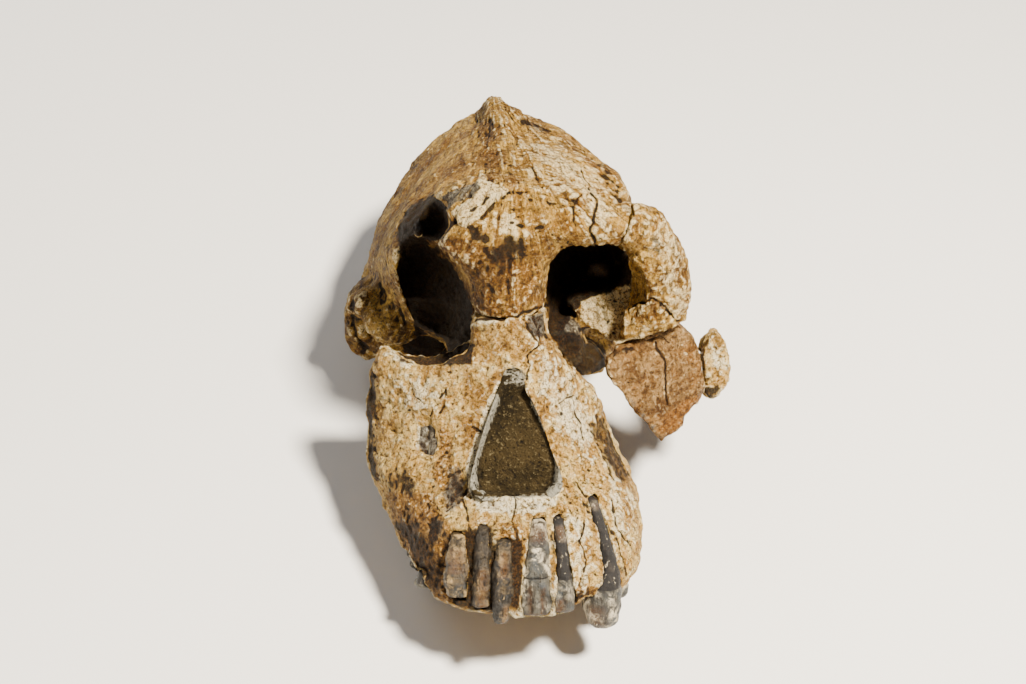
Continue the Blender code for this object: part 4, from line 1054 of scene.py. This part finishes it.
def curvedRows(rows, count):
    # more rows between those given, on a Catmull-Rom curve through each column
    rows = np.array(rows, float)
    padded = np.vstack([2 * rows[0] - rows[1], rows, 2 * rows[-1] - rows[-2]])
    at = np.linspace(0, len(rows) - 1, count)
    start = np.minimum(at.astype(int), len(rows) - 2)
    t = (at - start)[:, None]
    a, b, c, d = (padded[start + k] for k in range(4))
    return 0.5 * (2 * b + (c - a) * t + (2 * a - 5 * b + 4 * c - d) * t**2 + (3 * b - a - 3 * c + d) * t**3)


def closedGrid(name, grid):
    # a grid of points, rows by columns, joined round its columns and shut by a fan at each end
    rows, columns = grid.shape[:2]
    points = np.vstack([grid.reshape(-1, 3), grid[0].mean(0), grid[-1].mean(0)])
    index = np.arange(rows * columns).reshape(rows, columns)
    beside = np.roll(index, -1, axis=1)
    quads = np.stack([index[:-1], beside[:-1], beside[1:], index[1:]], -1).reshape(-1, 4)
    first, last = np.full((2, columns), [[rows * columns], [rows * columns + 1]])
    head = np.column_stack([first, beside[0], index[0]])
    tail = np.column_stack([last, index[-1], beside[-1]])
    mesh = bpy.data.meshes.new(name)
    mesh.from_pydata(kept(toRest(points)).tolist(), [], quads.tolist() + head.tolist() + tail.tolist())
    mesh.update()
    work = bmesh.new()
    work.from_mesh(mesh)
    bmesh.ops.recalc_face_normals(work, faces=work.faces)
    work.to_mesh(mesh)
    work.free()
    return linked(mesh, name), points


def makeNoseFill():
    # the nose's outline at many sizes round its middle: growing along the back, full size on the way
    # forward,
    # and shrinking again along the front
    backRows, sideRows, frontRows = 12, 10, 70
    top, bottom = np.array(noseFill["top"]), np.array(noseFill["bottom"])
    length = np.linalg.norm(bottom - top)
    down = (bottom - top) / length
    outwards = np.cross(down, (1.0, 0.0, 0.0))
    inset = noseFill["inset"]
    rows = curvedRows(noseFill["halfWidths"], 60)
    t, wide = rows[:, 0], np.maximum(rows[:, 1] - inset, 0.3)
    outlineX = np.concatenate([-wide, wide[::-1]])
    outlineT = np.concatenate([t, t[::-1]])
    outlineS = inset + outlineT * (length - 2 * inset)
    middle = 0.64 * length
    size = np.concatenate([np.linspace(0.05, 1, backRows), np.ones(sideRows),
                           np.linspace(0.995, 0.02, frontRows)])
    walk = np.concatenate([np.zeros(backRows), np.linspace(0.1, 1, sideRows), np.ones(frontRows)])
    x = size[:, None] * outlineX
    s = middle + size[:, None] * (outlineS - middle)
    flat = top + x[..., None] * np.array([1.0, 0, 0]) + s[..., None] * down
    cells = flat.reshape(-1, 3)
    stone = withinOutline(sighted(cells - noseFill["sunk"] * outwards), noseFill["stone"], 1.3)
    sunk = noseFill["sunk"] * stone + noseFill["rimSunk"] * (1 - stone)
    front = sunk + 0.60 * layered(cells, 7, 3, 41) + 0.26 * layered(cells, 1.8, 2, 47)
    front += 0.45 * pits(cells, 2.6, 53, 0.35)
    depth = noseFill["back"] + np.repeat(walk, len(outlineX)) * (front - noseFill["back"])
    grid = flat - depth.reshape(x.shape)[..., None] * outwards
    piece, points = closedGrid("nasal_matrix_stone", grid)
    marks = np.zeros((len(points), 4))
    rim = 1.2 * (1 - stone) * ease(layered(cells, 3.0, 3, 71), -1.1, 0.1)
    marks[: len(cells), 0] = 0.5 * pits(cells, 2.6, 53, 0.5)
    marks[: len(cells), 1] = rim * (0.45 + 0.55 * ease((s / length).ravel(), 0.14, 0.30))
    storeMarks(piece, marks, points)
    settleIn(piece, "nasal_matrix", stoneFill)


makeNoseFill()

# Teeth: smooth columns through the solids' own sections, with worn hollows, a neck and a chipped edge.

# Each tooth's hollows: middle and width in degrees round it, depth as a share of the radius, and start and
# end along its length. Its stains: the same two angles, start and end, then strength.
crowned = {"neck": 0.50, "square": 0.80, "flare": 0.05, "edge": 0.60, "finish": "enamel"}
broken = {"neck": 2.0, "square": 0.85, "flare": 0.0, "edge": 0.35, "finish": "root"}
toothLooks = {
    "left_central_incisor": {
        **crowned, "crust": 0.16, "rootTone": 0.34, "cream": 0.90,
        "hollows": [(-114, 17, 0.30, 0.60, 1.0), (-64, 15, 0.28, 0.60, 1.0), (-90, 12, 0.14, 0.05, 0.50)],
        "stains": [(-114, 13, 0.58, 0.97, 0.9), (-64, 12, 0.60, 0.97, 0.9), (-90, 70, 0.02, 0.16, 1.0),
            (-90, 120, 0.94, 1.0, 1.0)],
    },
    "left_lateral_incisor": {
        **crowned, "crust": 0.14, "rootTone": 0.95, "cream": 0.28,
        "hollows": [(-108, 24, 0.36, 0.62, 1.0)],
        "stains": [(-120, 30, 0.74, 0.99, 1.0), (-90, 80, 0.03, 0.18, 1.0), (-90, 120, 0.95, 1.0, 1.0)],
    },
    "left_canine": {
        **crowned, "square": 0.88, "flare": 0.07, "crust": 0.12, "edge": 0.50, "rootTone": 1.0, "cream": 0.95,
        "hollows": [(-134, 24, 0.18, 0.62, 0.95), (-70, 14, 0.08, 0.70, 0.95)],
        "stains": [(-140, 34, 0.62, 1.0, 0.95), (-90, 90, 0.0, 0.07, 0.9), (-90, 90, 0.94, 1.0, 0.7)],
    },
    "right_central_incisor": {
        **broken, "crust": 0.44, "rootTone": 0.58, "cream": 0.6,
        "hollows": [(-90, 18, 0.26, 0.06, 0.98)],
        "stains": [(-90, 26, 0.10, 0.40, 0.8), (-70, 20, 0.70, 1.0, 0.7)],
    },
    "right_lateral_incisor": {
        **broken, "crust": 0.44, "rootTone": 0.55, "cream": 0.6,
        "hollows": [(-84, 18, 0.24, 0.06, 0.98)],
        "stains": [(-90, 40, 0.55, 1.0, 0.6)],
    },
    "right_canine": {
        **broken, "crust": 0.40, "rootTone": 0.30, "cream": 0.8,
        "hollows": [(-76, 22, 0.22, 0.10, 0.98)],
        "stains": [(-80, 40, 0.20, 0.60, 0.6)],
    },
}


def bellRound(degrees, middle, width):
    # 1 at the middle angle, falling away on both sides of it as a bell curve
    off = (degrees - middle + 180) % 360 - 180
    return np.exp(-((off / width) ** 2))


def domed(share, least):
    # a quarter circle: 1 at share 0, down to the least height at share 1
    return np.sqrt(np.clip(1 - np.clip(share, 0, 1) ** 2, least, 1))


def makeFrontTooth(name, look, seed):
    # rings of a rounded square along the tooth's own line; each radius is scaled by the flare past the neck,
    # less each hollow, a bell in angle and a window in length, and rounds off to nothing at both ends
    rows, around = 120, 84
    rootEnd, tipEnd = 0.03, 0.045
    x, y, z, wide, deep = curvedRows(frontTeeth[name], rows).T[..., None]
    t = np.linspace(0, 1, rows)[:, None]
    angle = ringAngles(around)
    crown = ease(t, look["neck"] - 0.03, look["neck"] + 0.04)
    pinch = 0.05 * np.exp(-(((t - look["neck"]) / 0.03) ** 2))
    size = 1 + look["flare"] * crown + look["crust"] * (1 - crown) - pinch
    for middle, width, deepness, start, end in look["hollows"]:
        window = ease(t, start, start + 0.12) * (1 - ease(t, end, end + 0.06))
        size = size - deepness * bellRound(np.degrees(angle), middle, width) * window
    ends = domed((rootEnd - t) / rootEnd, 0.0) + 0.02
    ends = ends * domed((t - 1 + tipEnd) / tipEnd, 0.02)
    across, ahead = roundedSquare(angle, look["square"])
    gridX, gridY = swung(x, y, wide * across * size * ends, deep * ahead * size * ends,
                         frontTurns.get(name, 0.0))
    gridZ = np.repeat(z, around, axis=1)
    flat = np.stack([gridX, gridY, gridZ], -1).reshape(-1, 3)
    outward = flat - np.repeat(np.column_stack([x, y, z]), around, axis=0)
    outward /= np.maximum(np.linalg.norm(outward, axis=1)[:, None], 1e-6)
    tip = np.repeat(ease(t, 0.90, 1.0), around, axis=1).ravel()
    rootHere = 1 - np.repeat(crown, around, axis=1).ravel()
    rough = (0.12 + look["crust"]) * layered(flat, 2.4, 3, seed)
    rough = rough + look["edge"] * tip * layered(flat, 1.6, 2, seed + 5)
    rough -= 0.16 * pits(flat, 1.6, seed + 9, 0.4) * rootHere
    flat = flat + outward * rough[:, None] + np.array([0, 0, 0.35]) * (rough * tip)[:, None]
    piece, points = closedGrid(name + "_tooth", flat.reshape(rows, around, 3))
    marks = np.zeros((len(points), 4))
    dark, pale, grey, rustAndShade = marks[: len(flat)].T
    degrees = np.repeat(np.degrees(angle), rows, axis=0).ravel()
    along = np.repeat(t, around, axis=1).ravel()
    dark += look["rootTone"] * rootHere
    pale += look["cream"] * ease(layered(flat, 4.5, 2, seed + 12), -0.2, 0.5)
    grey += 0.9 * ease(layered(flat, 3.6, 2, seed + 15), -0.1, 0.5)
    for middle, width, start, end, strength in look["stains"]:
        window = ease(along, start - 0.03, start + 0.05) * (1 - ease(along, end - 0.04, end + 0.03))
        np.maximum(rustAndShade, strength * bellRound(degrees, middle, width) * window, out=rustAndShade)
    dark *= 1 - 0.8 * rustAndShade
    np.maximum(dark, 0.9 * np.exp(-(((along - look["neck"]) / 0.012) ** 2)), out=dark)
    storeMarks(piece, marks, points * np.array([1.0, 1.0, 0.18]))
    whole = look["finish"] == "enamel"
    settleIn(piece, name, enamel if whole else rootBone)


for index, (name, look) in enumerate(toothLooks.items()):
    makeFrontTooth(name, look, 600 + 20 * index)

# Cheek teeth: name, X and Y of the middle, length, width, left crown, right crown, right neck.
cheekTeeth = [
    ("third_premolar", 28.6, -99.6, 8.6, 11.6, 5.6, 1.0, -60.0),
    ("fourth_premolar", 29.6, -90.4, 8.6, 12.0, 5.0, 1.0, -57.6),
    ("first_molar", 30.0, -79.8, 11.0, 12.4, 4.4, 1.4, -57.8),
    ("second_molar", 29.4, -67.8, 11.6, 12.8, 3.8, 3.0, -60.5),
    ("third_molar", 28.2, -56.6, 9.4, 12.0, 3.2, 3.0, -60.5),
]
# Their common form: reaches are half widths as shares of the whole width, at so many shares of the crown
# down
# from the neck.
crownForm = {
    "leftNeck": -60.5, "rootLength": 3.4, "rightInset": 3.8, "turnDeg": 4.0, "basin": 0.9, "groove": 0.55,
    "downs": [-9, 0, 0.35, 0.75, 0.92, 1.0],
    "reaches": [0.37, 0.44, 0.495, 0.475, 0.43, 0.375],
}


def makeCheekTooth(word, kind, x, y, length, width, neck, crown, seed):
    # rings from the root down the crown to its chewing face, then in to the middle; the face lies deeper
    # than its rim by a basin, and by grooves between the cusps, two across the row and one along it
    side = 1 if word == "left" else -1
    x = x if side > 0 else crownForm["rightInset"] - x
    around, rootRows, crownRows, faceRows = 72, 8, 18, 20
    sideRows = rootRows + crownRows
    down = np.concatenate([np.linspace(-crownForm["rootLength"], 0, rootRows),
                           np.linspace(0.08, 1, crownRows) * crown, np.full(faceRows, crown)])
    share = down / crown
    profile = np.interp(share[:sideRows], crownForm["downs"], crownForm["reaches"])
    profile[:rootRows] = np.linspace(0.36, 0.44, rootRows)
    inward = np.concatenate([np.ones(sideRows), np.linspace(0.95, 0.04, faceRows)])
    reach = np.concatenate([profile, np.full(faceRows, crownForm["reaches"][-1])]) * inward
    angle = ringAngles(around)
    across, ahead = roundedSquare(angle, 0.8)
    cusps = 3 if kind.endswith("_molar") else 2
    waist = 1 - 0.035 * np.cos(cusps * 2 * angle) * inward[:, None]
    localX = width * reach[:, None] * across * waist
    localY = length * reach[:, None] * ahead * waist
    grooves = np.exp(-((localX / 0.9) ** 2)) + np.exp(-((localY / 0.8) ** 2))
    basin = crownForm["basin"] + crownForm["groove"] * grooves
    basin = basin * ease(1 - inward, 0.0, 0.5)[:, None] * min(1.0, crown / 3)
    gridX, gridY = swung(x, y, localX, localY, side * crownForm["turnDeg"])
    flat = np.stack([gridX, gridY, neck - down[:, None] + basin], -1).reshape(-1, 3)
    flat[:, 2] += 0.10 + 0.10 * layered(flat, 2.0, 3, seed) * (np.repeat(share, around) > 0)
    piece, points = closedGrid(f"{word}_{kind}_tooth", flat.reshape(-1, around, 3))
    marks = np.zeros((len(points), 4))
    dark, pale, grey, rustAndShade = marks[: len(flat)].T
    dark += 0.8 * np.repeat(1 - ease(share, -0.1, 0.08), around)
    pale += 0.7 * ease(layered(flat, 4, 2, seed + 3), -0.1, 0.5)
    grey += 0.8 * ease(layered(flat, 3, 2, seed + 6), 0.0, 0.5)
    rustAndShade += np.clip(basin.ravel() * 0.8, 0, 0.9)
    storeMarks(piece, marks, points * np.array([1.0, 1.0, 0.2]))
    settleIn(piece, f"{word}_{kind}", enamel)


for index, (kind, x, y, length, width, leftCrown, rightCrown, rightNeck) in enumerate(cheekTeeth):
    makeCheekTooth("left", kind, x, y, length, width, crownForm["leftNeck"], leftCrown, 800 + 20 * index)
    makeCheekTooth("right", kind, x, y, length, width, rightNeck, rightCrown, 900 + 20 * index)

# Floor, light and camera.

# Each light: its name, its place (metres right, up and towards the viewer from the face), size, power, tone.
studio = {
    "lightTarget": (0.0, -80.0, -5.0),
    "floorTone": (0.80, 0.785, 0.76),
    "skyTone": (0.93, 0.95, 1.0),
    "skyStrength": 0.20,
    "lights": [
        ("key", (0.37, 0.42, 0.78), 0.14, 50.0, (1.0, 0.91, 0.76)),
        ("fill", (-0.65, 0.10, 0.70), 0.60, 0.8, (1.0, 0.88, 0.72)),
        ("back", (-0.45, 0.75, -0.30), 0.50, 2.6, (1.0, 0.96, 0.90)),
    ],
}


def makeFloor():
    # a wide flat square at the height that the skull rests on, in a very faintly uneven pale tone
    half = 3.0
    corners = [(-half, -half, 0.0), (half, -half, 0.0), (half, half, 0.0), (-half, half, 0.0)]
    mesh = bpy.data.meshes.new("floor")
    mesh.from_pydata(corners, [], [(0, 1, 2, 3)])
    mesh.update()
    floor = linked(mesh, "floor")
    made = bpy.data.materials.new("pale_floor_finish")
    made.use_nodes = True
    tree = made.node_tree
    shader = tree.nodes["Principled BSDF"]
    where = node(tree, "ShaderNodeTexCoord").outputs["Object"]
    cloud = noiseOn(tree, where, 400, 2, 0.5)
    tone = studio["floorTone"]
    uneven = toned(tree, cloud, 0.3, 0.7, tone, tuple(0.985 * part for part in tone))
    tree.links.new(uneven, shader.inputs["Base Color"])
    shader.inputs["Roughness"].default_value = 0.65
    mesh.materials.append(made)


def makeLights():
    target = toRest(np.array([studio["lightTarget"]]))[0]
    for name, place, size, power, tone in studio["lights"]:
        lamp = bpy.data.lights.new(name, "AREA")
        lamp.shape = "DISK"
        lamp.size = size
        lamp.energy = power
        lamp.color = tone
        holder = bpy.data.objects.new(name, lamp)
        holder.location = Vector(target + viewAxes @ np.array(place))
        holder.rotation_euler = (Vector(target) - holder.location).to_track_quat("-Z", "Y").to_euler()
        bpy.context.scene.collection.objects.link(holder)
    world = bpy.data.worlds.new("studio")
    bpy.context.scene.world = world
    world.use_nodes = True
    sky = world.node_tree.nodes["Background"]
    sky.inputs["Color"].default_value = (*studio["skyTone"], 1.0)
    sky.inputs["Strength"].default_value = studio["skyStrength"]


def makeCamera():
    # the viewing point carried over from the skull's own frame: its right, up and back turned with the skull
    data = bpy.data.cameras.new("front_view")
    data.lens = lie["lens"]
    data.sensor_width = 36.0
    camera = bpy.data.objects.new("front_view", data)
    place = Matrix.Translation(Vector(toRest(eyeSpot)))
    camera.matrix_world = place @ Matrix(viewAxes.tolist()).to_4x4()
    bpy.context.scene.collection.objects.link(camera)
    bpy.context.scene.camera = camera


makeFloor()
makeLights()
makeCamera()
print("floor, lights and camera made")
